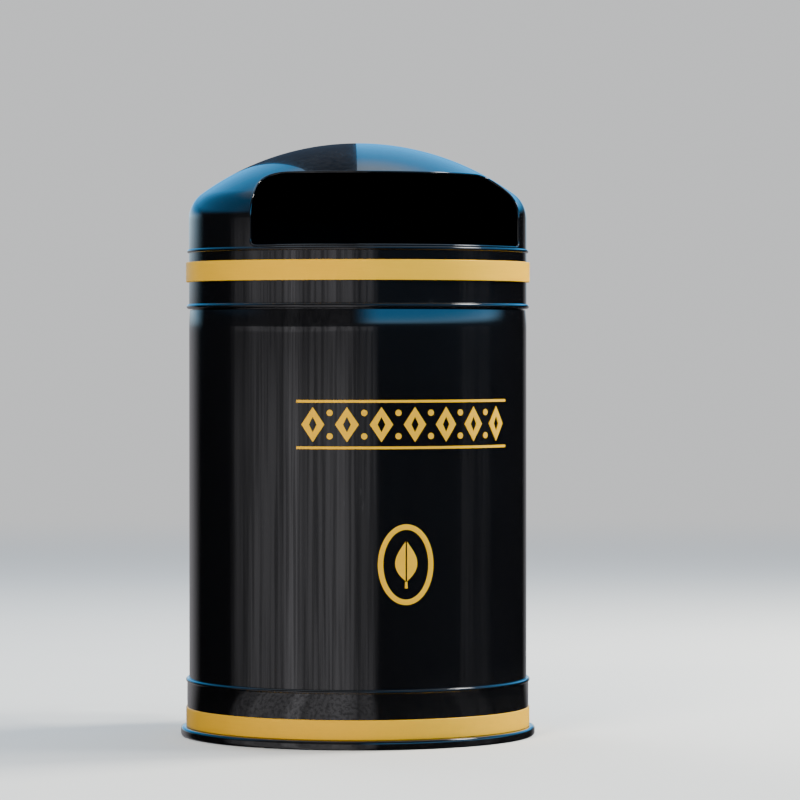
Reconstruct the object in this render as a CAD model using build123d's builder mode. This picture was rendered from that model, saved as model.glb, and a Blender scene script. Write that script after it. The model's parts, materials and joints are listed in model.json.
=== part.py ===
from build123d import *
import os
from math import acos, atan2, cos, degrees, hypot, radians, sin

# A round post-mounted litter bin with a hinged domed hood and a lift-out liner.
# The origin is the centre of the base's underside. +Z is up, the aperture faces -Y,
# and the post stands behind the bin on the +Y side. All sizes are in millimetres.
# Azimuth is counted in degrees around +Z from the front (-Y) towards +X.

os.makedirs("parts", exist_ok=True)

# ---- driving dimensions: casing
BODY_R = 200.0
SHEET = 1.5
BODY_TOP = 503.0
BODY_INNER_R = BODY_R - SHEET
BASE_T = 3.0
BASE_LIP_TOP = 22.0
DRAIN_R = 7.0
DRAIN_RING_R = 90.0
FLANGE_R = 210.0
FLANGE_H = 11.0
FLANGE_EDGE = 3.5
GOLD_R = 203.6
GOLD_EDGE = 0.8
BASE_BAND_TOP = 34.0
SLEEVE_R = 202.4
SLEEVE_TOP = 66.0
SLEEVE_BEAD_R = 2.2
SLEEVE_BEAD_CENTRE_R = 201.8
COLLAR_R = 196.0
COLLAR_TOP = 512.0
COLLAR_LOW = 485.0

# ---- driving dimensions: hood
HOOD_LOW = 504.5
SPRING_Z = 611.3
KNUCKLE_R = 36.0
CROWN_R = 315.0
HOOD_BAND_LOW = 536.0
HOOD_BAND_TOP = 559.5
HEM_R = 3.0
HEM_Z = 507.2
BEAD_R = 2.3
BEAD_Z = 572.5
APERTURE_HALF = 163.0
APERTURE_LOW = 575.0
APERTURE_TOP = 662.0
APERTURE_TOP_R = 50.0
APERTURE_LOW_R = 6.0
TRIM_W = 2.6
TRIM_PROUD = 0.8
TRIM_DEPTH = 2.3
APERTURE_CUT_START = 20.0

# ---- driving dimensions: hinge at the side, a little behind the widest point
HINGE_AZIMUTH = 104.0
HINGE_X = 207.0
HINGE_Z = 507.0
KNUCKLE_OUT = 5.0
HINGE_PIN_R = 2.5
PIN_PLAY = 0.06
HINGE_HALF = 28.0
MIDDLE_HALF = 10.0
KNUCKLE_GAP = 0.5
WEB_IN = 192.0
WEB_LOW = 493.0
WEB_TOP = 518.0
WEB_WAIST = 3.0
WEB_RISE = 4.0
HEM_CLEAR = 4.0
PIN_BUTTON_R = 4.0
PIN_BUTTON_T = 2.0
LEAF_T = 2.0
BODY_LEAF_LOW = 455.0
BODY_LEAF_TOP = 501.0
HOOD_LEAF_LOW = 513.0
HOOD_LEAF_TOP = 534.0
RIVET_R = 2.4
RIVET_HEAD_R = 4.5
RIVET_HEAD_T = 2.0
RIVET_TAPER = 25.0
RIVET_TAIL = 1.5
RIVET_STEP = 5.5
HOOD_RIVET_Z = 524.0
BODY_RIVET_Z = (464.0, 478.0)

# ---- driving dimensions: lock at the rear left
LOCK_AZIMUTH = -130.0
LOCK_Z = 523.4
LOCK_TUBE_R = 8.0
LOCK_BORE_R = 6.0
LOCK_FACE_R = 11.0
LOCK_FACE_OUT = 202.0
LOCK_TUBE_IN = 195.0
LOCK_EDGE = 0.8
LOCK_NUT_IN = 195.9
LOCK_NUT_T = 2.2
BARREL_R = 5.94
BARREL_OUT = 201.6
KEY_R = 3.6
KEY_FLOOR = 198.0
CAM_IN = 191.0
CAM_T = 2.0
CAM_W = 12.0
CAM_REACH = 22.0
CAM_BOSS_R = 7.0
CAM_SCREW_R = 4.2
CAM_SCREW_T = 2.2
KEEPER_IN = 188.4
KEEPER_T = 1.8
KEEPER_LOW = 488.0
KEEPER_LIP_Z = 532.0
KEEPER_LIP_OUT = 194.5
KEEPER_NEAR = 10.0
KEEPER_FAR = 20.0
KEEPER_FOOT = 12.0

# ---- driving dimensions: liner
LINER_R = 178.0
LINER_T = 1.2
PAD_H = 6.0
PAD_R = 16.0
PAD_RING_R = 130.0
PAD_EDGE = 1.0
LINER_LOW = BASE_T + PAD_H
LINER_TOP = 479.0
LINER_RIM_R = 3.0
SWAGE_OUT = 2.0
SWAGE_HALF = 8.0
SWAGE_Z = (150.0, 330.0)
HANDLE_X = 158.0
HANDLE_Z = 470.0
HANDLE_ROD_R = 3.5
HANDLE_LEG_Y = 47.0
HANDLE_END_Y = 59.0
HANDLE_DROP = 42.0
HANDLE_BEND_R = 4.8
EAR_IN_X = 151.0
EAR_Y = 52.0
EAR_T = 3.0
EAR_H = 16.0
EAR_PLAY = 0.1

# ---- driving dimensions: post mounting
POST_Y = 300.0
POST_R = 84.15
CHANNEL_W = 100.0
CHANNEL_T = 4.0
CHANNEL_Y = 203.0
CHANNEL_LOW = 90.0
CHANNEL_TOP = 480.0
CHANNEL_DEPTH = 30.0
SADDLE_LOW = 100.0
SADDLE_TOP = 470.0
SADDLE_DEPTH = 13.0
PLATE_W = 80.0
PLATE_T = 3.0
PLATE_LOW = 110.0
PLATE_TOP = 460.0
BOLT_R = 4.0
BOLT_HOLE_R = 4.4
BOLT_PITCH_X = 56.0
BOLT_PITCH_Z = 270.0
BOLT_MID_Z = 285.0
BOLT_HEAD_R = 7.0
BOLT_HEAD_Y = 187.4
BOLT_HEAD_T = 4.7
BOLT_HEAD_EDGE = 2.0
BOLT_END_Y = 216.0
WASHER_R = 8.0
WASHER_T = 1.6
NUT_R = 7.5
NUT_T = 6.0
BAND_T = 1.2
BAND_W = 20.0
BAND_SLOT_X = 50.0
BAND_CHORD_Y = 211.0
BAND_SLOT_H = 22.0
BAND_SLOT_T = 3.6
BAND_Z = {"upper": 370.0, "lower": 200.0}
BUCKLE_ANGLE = 35.0
BUCKLE_L = 26.0
BUCKLE_W = 24.0
BUCKLE_H = 11.0
BUCKLE_EDGE = 2.5
BUCKLE_SINK = 4.0
BAND_SCREW_R = 3.5
BAND_SCREW_L = 44.0
BAND_SCREW_HEAD_R = 5.2
BAND_SCREW_HEAD_T = 5.0
BAND_SCREW_DROP = 5.0
BAND_SCREW_TIP = 2.0

# ---- driving dimensions: ornament on the front
TRIM_T = 0.9
TRIM_CUT = 10.0
FRIEZE_AZIMUTH = 3.0
FRIEZE_HALF_ANGLE = 39.5
FRIEZE_Z = 371.0
FRIEZE_H = 56.0
RULE_H = 3.0
LOZENGE_COUNT = 7
LOZENGE_W = 27.0
LOZENGE_H = 40.0
LOZENGE_EYE = 9.0
DOT_R = 3.6
EMBLEM_Z = 211.0
EMBLEM_W = 66.0
EMBLEM_H = 92.0
EMBLEM_STROKE = 6.0
LEAF_LOW = -19.0
LEAF_TIP = 27.0
LEAF_BULGE = 13.0
LEAF_VEIN = 2.2
LEAF_VEIN_HALF = 17.0
STALK_W = 3.2
STALK_L = 12.0
STALK_Z = -21.0


def radial_plane(azimuth, radius, height):
    """A plane square to a spoke of the bin: its x runs around, y up, z outwards."""
    spoke = Vector(sin(radians(azimuth)), -cos(radians(azimuth)), 0)
    around = Vector(cos(radians(azimuth)), sin(radians(azimuth)), 0)
    return Plane(origin=spoke * radius + Vector(0, 0, height), x_dir=around, z_dir=spoke)


def swung(part, label):
    """A hinge part drawn at azimuth 90, moved round to the hinge's own azimuth."""
    moved = part.rotate(Axis.Z, HINGE_AZIMUTH - 90)
    moved.label = label
    return moved


def rear_plane(y, height):
    """A plane that faces the post, with its y upwards."""
    return Plane(origin=(0, y, height), x_dir=(-1, 0, 0), z_dir=(0, 1, 0))


def ring(inner, outer, low, high, edge):
    """A flat hoop around the bin, with its two outer corners rounded."""
    with BuildPart() as hoop:
        with BuildSketch(Plane.XY.offset(low)):
            Circle(outer)
            Circle(inner, mode=Mode.SUBTRACT)
        extrude(amount=high - low)
        fillet(hoop.edges().filter_by(GeomType.CIRCLE).sort_by(SortBy.RADIUS)[-2:], edge)
    return hoop


def dome_section(inset, low):
    """Half of the section of a solid dome that lies inset below the hood's outer face."""
    crown_z = SPRING_Z - (((CROWN_R - KNUCKLE_R) ** 2 - (BODY_R - KNUCKLE_R) ** 2) ** 0.5)
    turn = degrees(atan2(SPRING_Z - crown_z, BODY_R - KNUCKLE_R))
    with BuildSketch(Plane.XZ) as section:
        with BuildLine():
            side = Line((BODY_R - inset, low), (BODY_R - inset, SPRING_Z))
            CenterArc((BODY_R - KNUCKLE_R, SPRING_Z), KNUCKLE_R - inset, 0, turn)
            CenterArc((0, crown_z), CROWN_R - inset, turn, 90 - turn)
            Polyline((0, crown_z + CROWN_R - inset), (0, low), side @ 0)
        make_face()
    return section.sketch


def aperture_outline(inset, start):
    """The throw-in opening seen from the front, on a plane start in front of the axis."""
    with BuildSketch(Plane.XZ.offset(start)) as outline:
        with Locations((0, (APERTURE_LOW + APERTURE_TOP) / 2)):
            Rectangle(2 * (APERTURE_HALF - inset), APERTURE_TOP - APERTURE_LOW - 2 * inset)
        fillet(outline.vertices().group_by(Axis.Y)[-1], APERTURE_TOP_R - inset)
        fillet(outline.vertices().group_by(Axis.Y)[0], APERTURE_LOW_R - inset)
    return outline.sketch


# ==== casing =======================================================================

# rolled body tube, with holes for the post bolts and the hinge rivets
with BuildPart() as body_shell:
    with BuildSketch(Plane.XY):
        Circle(BODY_R)
        Circle(BODY_INNER_R, mode=Mode.SUBTRACT)
    extrude(amount=BODY_TOP)
    with BuildSketch(rear_plane(0, BOLT_MID_Z)):
        with GridLocations(BOLT_PITCH_X, BOLT_PITCH_Z, 2, 2):
            Circle(BOLT_HOLE_R)
    extrude(amount=BODY_R + SHEET, mode=Mode.SUBTRACT)
    for height in BODY_RIVET_Z:
        for turn in (-RIVET_STEP, RIVET_STEP):
            with BuildSketch(radial_plane(HINGE_AZIMUTH + turn, BODY_R - 2 * SHEET, height)):
                Circle(RIVET_R)
            extrude(amount=4 * SHEET, mode=Mode.SUBTRACT)
body_shell.part.label = "body_shell"
export_step(body_shell.part, "parts/body_shell.step")

# joggled ring inside the mouth, which centres the hood
with BuildPart() as body_collar:
    with BuildSketch(Plane.XZ):
        with BuildLine():
            Polyline(
                (BODY_INNER_R - SHEET, COLLAR_LOW),
                (BODY_INNER_R, COLLAR_LOW),
                (BODY_INNER_R, BODY_TOP),
                (COLLAR_R, BODY_TOP),
                (COLLAR_R, COLLAR_TOP),
                (COLLAR_R - SHEET, COLLAR_TOP),
                (COLLAR_R - SHEET, BODY_TOP - SHEET),
                (BODY_INNER_R - SHEET, BODY_TOP - SHEET),
                close=True,
            )
        make_face()
    revolve(axis=Axis.Z)
body_collar.part.label = "body_collar"
export_step(body_collar.part, "parts/body_collar.step")

# bottom pan: a disc with an upturned lip and four drain holes
with BuildPart() as base_plate:
    with BuildSketch(Plane.XY):
        Circle(BODY_INNER_R)
        with PolarLocations(DRAIN_RING_R, 4, start_angle=45):
            Circle(DRAIN_R, mode=Mode.SUBTRACT)
    extrude(amount=BASE_T)
    with BuildSketch(Plane.XY.offset(BASE_T)):
        Circle(BODY_INNER_R)
        Circle(BODY_INNER_R - SHEET, mode=Mode.SUBTRACT)
    extrude(amount=BASE_LIP_TOP - BASE_T)
base_plate.part.label = "base_plate"
export_step(base_plate.part, "parts/base_plate.step")

base_ring = ring(BODY_R, FLANGE_R, 0, FLANGE_H, FLANGE_EDGE)
base_ring.part.label = "base_ring"
export_step(base_ring.part, "parts/base_ring.step")

base_band = ring(BODY_R, GOLD_R, FLANGE_H, BASE_BAND_TOP, GOLD_EDGE)
base_band.part.label = "base_band"
export_step(base_band.part, "parts/base_band.step")

# lower sleeve with a rolled bead along its top edge
with BuildPart() as base_sleeve:
    with BuildSketch(Plane.XZ):
        with Locations(((BODY_R + SLEEVE_R) / 2, (BASE_BAND_TOP + SLEEVE_TOP) / 2)):
            Rectangle(SLEEVE_R - BODY_R, SLEEVE_TOP - BASE_BAND_TOP)
        with Locations((SLEEVE_BEAD_CENTRE_R, SLEEVE_TOP)):
            Circle(SLEEVE_BEAD_R)
        with Locations((BODY_R, SLEEVE_TOP)):
            Rectangle(BODY_R, 4 * SLEEVE_BEAD_R, align=(Align.MAX, Align.CENTER), mode=Mode.SUBTRACT)
    revolve(axis=Axis.Z)
base_sleeve.part.label = "base_sleeve"
export_step(base_sleeve.part, "parts/base_sleeve.step")

# rubber pads that the liner stands on
with BuildPart() as liner_pads:
    with BuildSketch(Plane.XY.offset(BASE_T)):
        with PolarLocations(PAD_RING_R, 3, start_angle=-90):
            Circle(PAD_R)
    extrude(amount=PAD_H)
    fillet(liner_pads.edges().group_by(Axis.Z)[-1], PAD_EDGE)
liner_pads.part.label = "liner_pads"
export_step(liner_pads.part, "parts/liner_pads.step")

# ---- ornament applied to the front of the body

# frieze of pierced lozenges and dots between two rules
with BuildPart() as front_frieze:
    lozenge_step = 2 * FRIEZE_HALF_ANGLE / LOZENGE_COUNT
    first = FRIEZE_AZIMUTH - FRIEZE_HALF_ANGLE + lozenge_step / 2
    for index in range(LOZENGE_COUNT):
        with BuildSketch(radial_plane(first + index * lozenge_step, BODY_R - TRIM_CUT, FRIEZE_Z)):
            with BuildLine():
                Polyline(
                    (-LOZENGE_W / 2, 0), (0, -LOZENGE_H / 2), (LOZENGE_W / 2, 0), (0, LOZENGE_H / 2),
                    close=True,
                )
            make_face()
            with BuildLine():
                Polyline(
                    (-LOZENGE_EYE / 2, 0), (0, -LOZENGE_EYE), (LOZENGE_EYE / 2, 0), (0, LOZENGE_EYE),
                    close=True,
                )
            make_face(mode=Mode.SUBTRACT)
        extrude(amount=2 * TRIM_CUT)
    for index in range(LOZENGE_COUNT - 1):
        dot_azimuth = first + (index + 0.5) * lozenge_step
        for side in (-1, 1):
            dot_z = FRIEZE_Z + side * LOZENGE_H / 3
            with BuildSketch(radial_plane(dot_azimuth, BODY_R - TRIM_CUT, dot_z)):
                Circle(DOT_R)
            extrude(amount=2 * TRIM_CUT)
    reach = 2 * BODY_R
    left = radians(FRIEZE_AZIMUTH - FRIEZE_HALF_ANGLE)
    right = radians(FRIEZE_AZIMUTH + FRIEZE_HALF_ANGLE)
    for low in (FRIEZE_Z - FRIEZE_H / 2, FRIEZE_Z + FRIEZE_H / 2 - RULE_H):
        with BuildSketch(Plane.XY.offset(low)):
            with BuildLine():
                Polyline(
                    (0, 0),
                    (reach * sin(left), -reach * cos(left)),
                    (reach * sin(right), -reach * cos(right)),
                    close=True,
                )
            make_face()
            Circle(BODY_R + TRIM_T, mode=Mode.INTERSECT)
            Circle(BODY_R - TRIM_CUT, mode=Mode.SUBTRACT)
        extrude(amount=RULE_H)
    with BuildSketch(Plane.XY.offset(FRIEZE_Z - FRIEZE_H)):
        Circle(BODY_R + TRIM_T)
        Circle(BODY_R, mode=Mode.SUBTRACT)
    extrude(amount=2 * FRIEZE_H, mode=Mode.INTERSECT)
front_frieze.part.label = "front_frieze"
export_step(front_frieze.part, "parts/front_frieze.step")

# oval ring
with BuildPart() as emblem_ring:
    with BuildSketch(radial_plane(0, BODY_R - TRIM_CUT, EMBLEM_Z)):
        Ellipse(EMBLEM_W / 2, EMBLEM_H / 2)
        Ellipse(EMBLEM_W / 2 - EMBLEM_STROKE, EMBLEM_H / 2 - EMBLEM_STROKE, mode=Mode.SUBTRACT)
    extrude(amount=2 * TRIM_CUT)
    with BuildSketch(Plane.XY.offset(EMBLEM_Z - EMBLEM_H)):
        Circle(BODY_R + TRIM_T)
        Circle(BODY_R, mode=Mode.SUBTRACT)
    extrude(amount=2 * EMBLEM_H, mode=Mode.INTERSECT)
emblem_ring.part.label = "emblem_ring"
export_step(emblem_ring.part, "parts/emblem_ring.step")

# leaf in two halves, with a stalk
with BuildPart() as emblem_leaf:
    with BuildSketch(radial_plane(0, BODY_R - TRIM_CUT, EMBLEM_Z)):
        with BuildLine():
            SagittaArc((0, LEAF_LOW), (0, LEAF_TIP), LEAF_BULGE)
            SagittaArc((0, LEAF_TIP), (0, LEAF_LOW), LEAF_BULGE)
        make_face()
        Rectangle(LEAF_VEIN, 2 * LEAF_VEIN_HALF, mode=Mode.SUBTRACT)
        with Locations((0, STALK_Z)):
            Rectangle(STALK_W, STALK_L)
    extrude(amount=2 * TRIM_CUT)
    with BuildSketch(Plane.XY.offset(EMBLEM_Z - EMBLEM_H)):
        Circle(BODY_R + TRIM_T)
        Circle(BODY_R, mode=Mode.SUBTRACT)
    extrude(amount=2 * EMBLEM_H, mode=Mode.INTERSECT)
emblem_leaf.part.label = "emblem_leaf"
export_step(emblem_leaf.part, "parts/emblem_leaf.step")

# ==== post mounting ================================================================

# curved packing piece between the round body and the flat channel
with BuildPart() as channel_saddle:
    with BuildSketch(Plane.XY.offset(SADDLE_LOW)):
        with Locations((0, CHANNEL_Y)):
            Rectangle(CHANNEL_W, SADDLE_DEPTH, align=(Align.CENTER, Align.MAX))
        Circle(BODY_R, mode=Mode.SUBTRACT)
    extrude(amount=SADDLE_TOP - SADDLE_LOW)
    with BuildSketch(rear_plane(0, BOLT_MID_Z)):
        with GridLocations(BOLT_PITCH_X, BOLT_PITCH_Z, 2, 2):
            Circle(BOLT_HOLE_R)
    extrude(amount=CHANNEL_Y, mode=Mode.SUBTRACT)
channel_saddle.part.label = "channel_saddle"
export_step(channel_saddle.part, "parts/channel_saddle.step")

# upright channel whose two rear edges seat on the post, slotted for the bands
with BuildPart() as mounting_channel:
    with BuildSketch(Plane.XY.offset(CHANNEL_LOW)):
        with Locations((0, CHANNEL_Y)):
            Rectangle(CHANNEL_W, CHANNEL_T, align=(Align.CENTER, Align.MIN))
        with Locations(*[(side * (CHANNEL_W - CHANNEL_T) / 2, CHANNEL_Y) for side in (-1, 1)]):
            Rectangle(CHANNEL_T, CHANNEL_DEPTH, align=(Align.CENTER, Align.MIN))
        with Locations((0, POST_Y)):
            Circle(POST_R, mode=Mode.SUBTRACT)
    extrude(amount=CHANNEL_TOP - CHANNEL_LOW)
    with BuildSketch(rear_plane(0, BOLT_MID_Z)):
        with GridLocations(BOLT_PITCH_X, BOLT_PITCH_Z, 2, 2):
            Circle(BOLT_HOLE_R)
    extrude(amount=CHANNEL_Y + CHANNEL_T, mode=Mode.SUBTRACT)
    with BuildSketch(Plane.YZ.offset(-CHANNEL_W)):
        with Locations(*[(BAND_CHORD_Y, height) for height in BAND_Z.values()]):
            Rectangle(BAND_SLOT_T, BAND_SLOT_H)
    extrude(amount=2 * CHANNEL_W, mode=Mode.SUBTRACT)
mounting_channel.part.label = "mounting_channel"
export_step(mounting_channel.part, "parts/mounting_channel.step")

# curved plate inside the body that spreads the load of the bolts
with BuildPart() as backing_plate:
    with BuildSketch(Plane.XY.offset(PLATE_LOW)):
        Circle(BODY_INNER_R)
        Circle(BODY_INNER_R - PLATE_T, mode=Mode.SUBTRACT)
        with Locations((0, BODY_R)):
            Rectangle(PLATE_W, BODY_R, mode=Mode.INTERSECT)
    extrude(amount=PLATE_TOP - PLATE_LOW)
    with BuildSketch(rear_plane(0, BOLT_MID_Z)):
        with GridLocations(BOLT_PITCH_X, BOLT_PITCH_Z, 2, 2):
            Circle(BOLT_HOLE_R)
    extrude(amount=BODY_R, mode=Mode.SUBTRACT)
backing_plate.part.label = "backing_plate"
export_step(backing_plate.part, "parts/backing_plate.step")

# four bolts from inside the body, with low round heads
with BuildPart() as channel_bolts:
    with BuildSketch(rear_plane(BOLT_HEAD_Y, BOLT_MID_Z)):
        with GridLocations(BOLT_PITCH_X, BOLT_PITCH_Z, 2, 2):
            Circle(BOLT_HEAD_R)
    extrude(amount=BOLT_HEAD_T)
    fillet(channel_bolts.edges().group_by(Axis.Y)[0], BOLT_HEAD_EDGE)
    with BuildSketch(rear_plane(BOLT_HEAD_Y + BOLT_HEAD_T, BOLT_MID_Z)):
        with GridLocations(BOLT_PITCH_X, BOLT_PITCH_Z, 2, 2):
            Circle(BOLT_R)
    extrude(amount=BOLT_END_Y - BOLT_HEAD_Y - BOLT_HEAD_T)
channel_bolts.part.label = "channel_bolts"
export_step(channel_bolts.part, "parts/channel_bolts.step")

with BuildPart() as channel_washers:
    with BuildSketch(rear_plane(CHANNEL_Y + CHANNEL_T, BOLT_MID_Z)):
        with GridLocations(BOLT_PITCH_X, BOLT_PITCH_Z, 2, 2):
            Circle(WASHER_R)
            Circle(BOLT_R, mode=Mode.SUBTRACT)
    extrude(amount=WASHER_T)
channel_washers.part.label = "channel_washers"
export_step(channel_washers.part, "parts/channel_washers.step")

with BuildPart() as channel_nuts:
    with BuildSketch(rear_plane(CHANNEL_Y + CHANNEL_T + WASHER_T, BOLT_MID_Z)):
        with GridLocations(BOLT_PITCH_X, BOLT_PITCH_Z, 2, 2):
            RegularPolygon(NUT_R, 6)
            Circle(BOLT_R, mode=Mode.SUBTRACT)
    extrude(amount=NUT_T)
channel_nuts.part.label = "channel_nuts"
export_step(channel_nuts.part, "parts/channel_nuts.step")

# steel bands: round the back of the post, tangent to the channel's slots, and across it
band_mid_r = POST_R + BAND_T / 2
slot_reach = hypot(BAND_SLOT_X, POST_Y - BAND_CHORD_Y)
leave_angle = degrees(atan2(BAND_CHORD_Y - POST_Y, BAND_SLOT_X) + acos(band_mid_r / slot_reach))
for level, height in BAND_Z.items():
    with BuildPart() as post_band:
        with BuildSketch(Plane.XY.offset(height - BAND_W / 2)) as band_loop:
            with BuildLine():
                wrap = CenterArc((0, POST_Y), POST_R + BAND_T, leave_angle, 180 - 2 * leave_angle)
                turn_x = BAND_SLOT_X + BAND_T / 2
                Polyline(
                    wrap @ 1,
                    (-turn_x, BAND_CHORD_Y - BAND_T / 2),
                    (turn_x, BAND_CHORD_Y - BAND_T / 2),
                    wrap @ 0,
                )
            make_face()
            with BuildLine():
                inner_wrap = CenterArc((0, POST_Y), POST_R, leave_angle, 180 - 2 * leave_angle)
                inner_x = BAND_SLOT_X - BAND_T / 2
                Polyline(
                    inner_wrap @ 1,
                    (-inner_x, BAND_CHORD_Y + BAND_T / 2),
                    (inner_x, BAND_CHORD_Y + BAND_T / 2),
                    inner_wrap @ 0,
                )
            make_face(mode=Mode.SUBTRACT)
        extrude(amount=BAND_W)
    post_band.part.label = f"post_band_{level}"
    export_step(post_band.part, f"parts/post_band_{level}.step")

    buckle_spoke = Vector(cos(radians(BUCKLE_ANGLE)), sin(radians(BUCKLE_ANGLE)), 0)
    buckle_around = Vector(-sin(radians(BUCKLE_ANGLE)), cos(radians(BUCKLE_ANGLE)), 0)
    buckle_origin = Vector(0, POST_Y, height) + buckle_spoke * (POST_R + BAND_T)
    screw_mid = buckle_origin + buckle_spoke * (BUCKLE_H - BAND_SCREW_DROP)
    screw_origin = screw_mid - buckle_around * (BAND_SCREW_L / 2)
    screw_plane = Plane(origin=screw_origin, x_dir=buckle_spoke, z_dir=buckle_around)
    # worm housing that sits on the band
    with BuildPart() as band_buckle:
        with BuildSketch(Plane(origin=buckle_origin, x_dir=buckle_around, z_dir=buckle_spoke)):
            RectangleRounded(BUCKLE_L, BUCKLE_W, BUCKLE_EDGE)
        extrude(amount=BUCKLE_H)
        with BuildSketch(Plane(origin=buckle_origin, x_dir=buckle_around, z_dir=buckle_spoke)):
            Rectangle(BUCKLE_L, BUCKLE_W)
        extrude(amount=-BUCKLE_SINK)
        with BuildSketch(Plane.XY.offset(height - BUCKLE_W)):
            with Locations((0, POST_Y)):
                Circle(POST_R + BAND_T)
        extrude(amount=2 * BUCKLE_W, mode=Mode.SUBTRACT)
        with BuildSketch(screw_plane):
            Circle(BAND_SCREW_R)
        extrude(amount=BAND_SCREW_L, mode=Mode.SUBTRACT)
    band_buckle.part.label = f"band_buckle_{level}"
    export_step(band_buckle.part, f"parts/band_buckle_{level}.step")

    # worm screw with a hexagon head
    with BuildPart() as band_screw:
        with BuildSketch(screw_plane.offset(BAND_SCREW_HEAD_T)):
            Circle(BAND_SCREW_R)
        extrude(amount=BAND_SCREW_L - BAND_SCREW_HEAD_T - BAND_SCREW_TIP)
        with BuildSketch(screw_plane):
            RegularPolygon(BAND_SCREW_HEAD_R, 6)
        extrude(amount=BAND_SCREW_HEAD_T)
    band_screw.part.label = f"band_screw_{level}"
    export_step(band_screw.part, f"parts/band_screw_{level}.step")

# ==== hood hinge ===================================================================


def curved_leaf(low, high):
    """A strip of sheet bent to the bin's outside, at the hinge's side."""
    with BuildSketch(Plane.XY.offset(low)) as strip:
        Circle(BODY_R + LEAF_T)
        Circle(BODY_R, mode=Mode.SUBTRACT)
        with Locations((BODY_R, 0)):
            Rectangle(BODY_R, 2 * HINGE_HALF, mode=Mode.INTERSECT)
    return extrude(strip.sketch, amount=high - low)


# fixed leaf: two outer knuckles on a web that stands clear of the hood
with BuildPart() as hinge_body_leaf:
    add(curved_leaf(BODY_LEAF_LOW, BODY_LEAF_TOP))
    outer_from = MIDDLE_HALF + KNUCKLE_GAP
    for start, end in ((-HINGE_HALF, -outer_from), (outer_from, HINGE_HALF)):
        with BuildSketch(Plane.XZ.offset(-end)):
            with Locations((HINGE_X, HINGE_Z)):
                Circle(KNUCKLE_OUT)
            with BuildLine():
                Polyline(
                    (WEB_IN, WEB_LOW), (BODY_R + LEAF_T, WEB_LOW),
                    (HINGE_X + WEB_WAIST, HINGE_Z - WEB_RISE), (HINGE_X, HINGE_Z),
                    (WEB_IN, HINGE_Z - 1), close=True,
                )
            make_face()
        extrude(amount=end - start)
    with BuildSketch(Plane.XY.offset(BODY_LEAF_LOW)):
        Circle(BODY_R)
    extrude(amount=BODY_TOP - BODY_LEAF_LOW, mode=Mode.SUBTRACT)
    with BuildSketch(Plane.XY.offset(BODY_TOP)):
        Circle(BODY_R + KNUCKLE_GAP)
    extrude(amount=HOOD_LEAF_LOW - BODY_TOP, mode=Mode.SUBTRACT)
    with BuildSketch(Plane.XZ.offset(-HINGE_HALF)):
        with Locations((HINGE_X, HINGE_Z)):
            Circle(HINGE_PIN_R)
    extrude(amount=2 * HINGE_HALF, mode=Mode.SUBTRACT)
    for height in BODY_RIVET_Z:
        for turn in (-RIVET_STEP, RIVET_STEP):
            with BuildSketch(radial_plane(90 + turn, BODY_R - LEAF_T, height)):
                Circle(RIVET_R)
            extrude(amount=4 * LEAF_T, mode=Mode.SUBTRACT)
export_step(swung(hinge_body_leaf.part, "hinge_body_leaf"), "parts/hinge_body_leaf.step")

# moving leaf: the middle knuckle, on a web under its strip
with BuildPart() as hinge_hood_leaf:
    add(curved_leaf(HOOD_LEAF_LOW, HOOD_LEAF_TOP))
    with BuildSketch(Plane.XZ.offset(-MIDDLE_HALF)):
        with Locations((HINGE_X, HINGE_Z)):
            Circle(KNUCKLE_OUT)
        with BuildLine():
            Polyline(
                (WEB_IN, HINGE_Z), (HINGE_X, HINGE_Z), (HINGE_X + WEB_WAIST, HINGE_Z + WEB_RISE),
                (BODY_R + LEAF_T, WEB_TOP), (WEB_IN, WEB_TOP), close=True,
            )
        make_face()
    extrude(amount=2 * MIDDLE_HALF)
    with BuildSketch(Plane.XY.offset(HOOD_LOW)):
        Circle(BODY_R)
    extrude(amount=HOOD_LEAF_TOP - HOOD_LOW, mode=Mode.SUBTRACT)
    with BuildSketch(Plane.XZ.offset(-HINGE_HALF)):
        with Locations((HINGE_X, HINGE_Z)):
            Circle(HINGE_PIN_R + PIN_PLAY)
    extrude(amount=2 * HINGE_HALF, mode=Mode.SUBTRACT)
    for turn in (-RIVET_STEP, 0, RIVET_STEP):
        with BuildSketch(radial_plane(90 + turn, BODY_R - LEAF_T, HOOD_RIVET_Z)):
            Circle(RIVET_R)
        extrude(amount=4 * LEAF_T, mode=Mode.SUBTRACT)
export_step(swung(hinge_hood_leaf.part, "hinge_hood_leaf"), "parts/hinge_hood_leaf.step")

# hinge pin with a button at each end
with BuildPart() as hinge_pin:
    with BuildSketch(Plane.XZ.offset(-HINGE_HALF)):
        with Locations((HINGE_X, HINGE_Z)):
            Circle(HINGE_PIN_R)
    extrude(amount=2 * HINGE_HALF)
    for y in (HINGE_HALF + PIN_BUTTON_T, -HINGE_HALF):
        with BuildSketch(Plane.XZ.offset(-y)):
            with Locations((HINGE_X, HINGE_Z)):
                Circle(PIN_BUTTON_R)
        extrude(amount=PIN_BUTTON_T)
export_step(swung(hinge_pin.part, "hinge_pin"), "parts/hinge_pin.step")


def rivet(azimuth, height):
    """A blind rivet through one sheet and one leaf, along a spoke of the bin."""
    with BuildPart() as stud:
        with BuildSketch(radial_plane(azimuth, BODY_INNER_R - RIVET_TAIL, height)):
            Circle(RIVET_R)
        extrude(amount=BODY_R + LEAF_T - BODY_INNER_R + RIVET_TAIL)
        with BuildSketch(radial_plane(azimuth, BODY_R + LEAF_T, height)):
            Circle(RIVET_HEAD_R)
        extrude(amount=RIVET_HEAD_T, taper=RIVET_TAPER)
    return stud.part


with BuildPart() as hinge_body_rivets:
    for height in BODY_RIVET_Z:
        for turn in (-RIVET_STEP, RIVET_STEP):
            add(rivet(HINGE_AZIMUTH + turn, height))
hinge_body_rivets.part.label = "hinge_body_rivets"
export_step(hinge_body_rivets.part, "parts/hinge_body_rivets.step")

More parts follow.
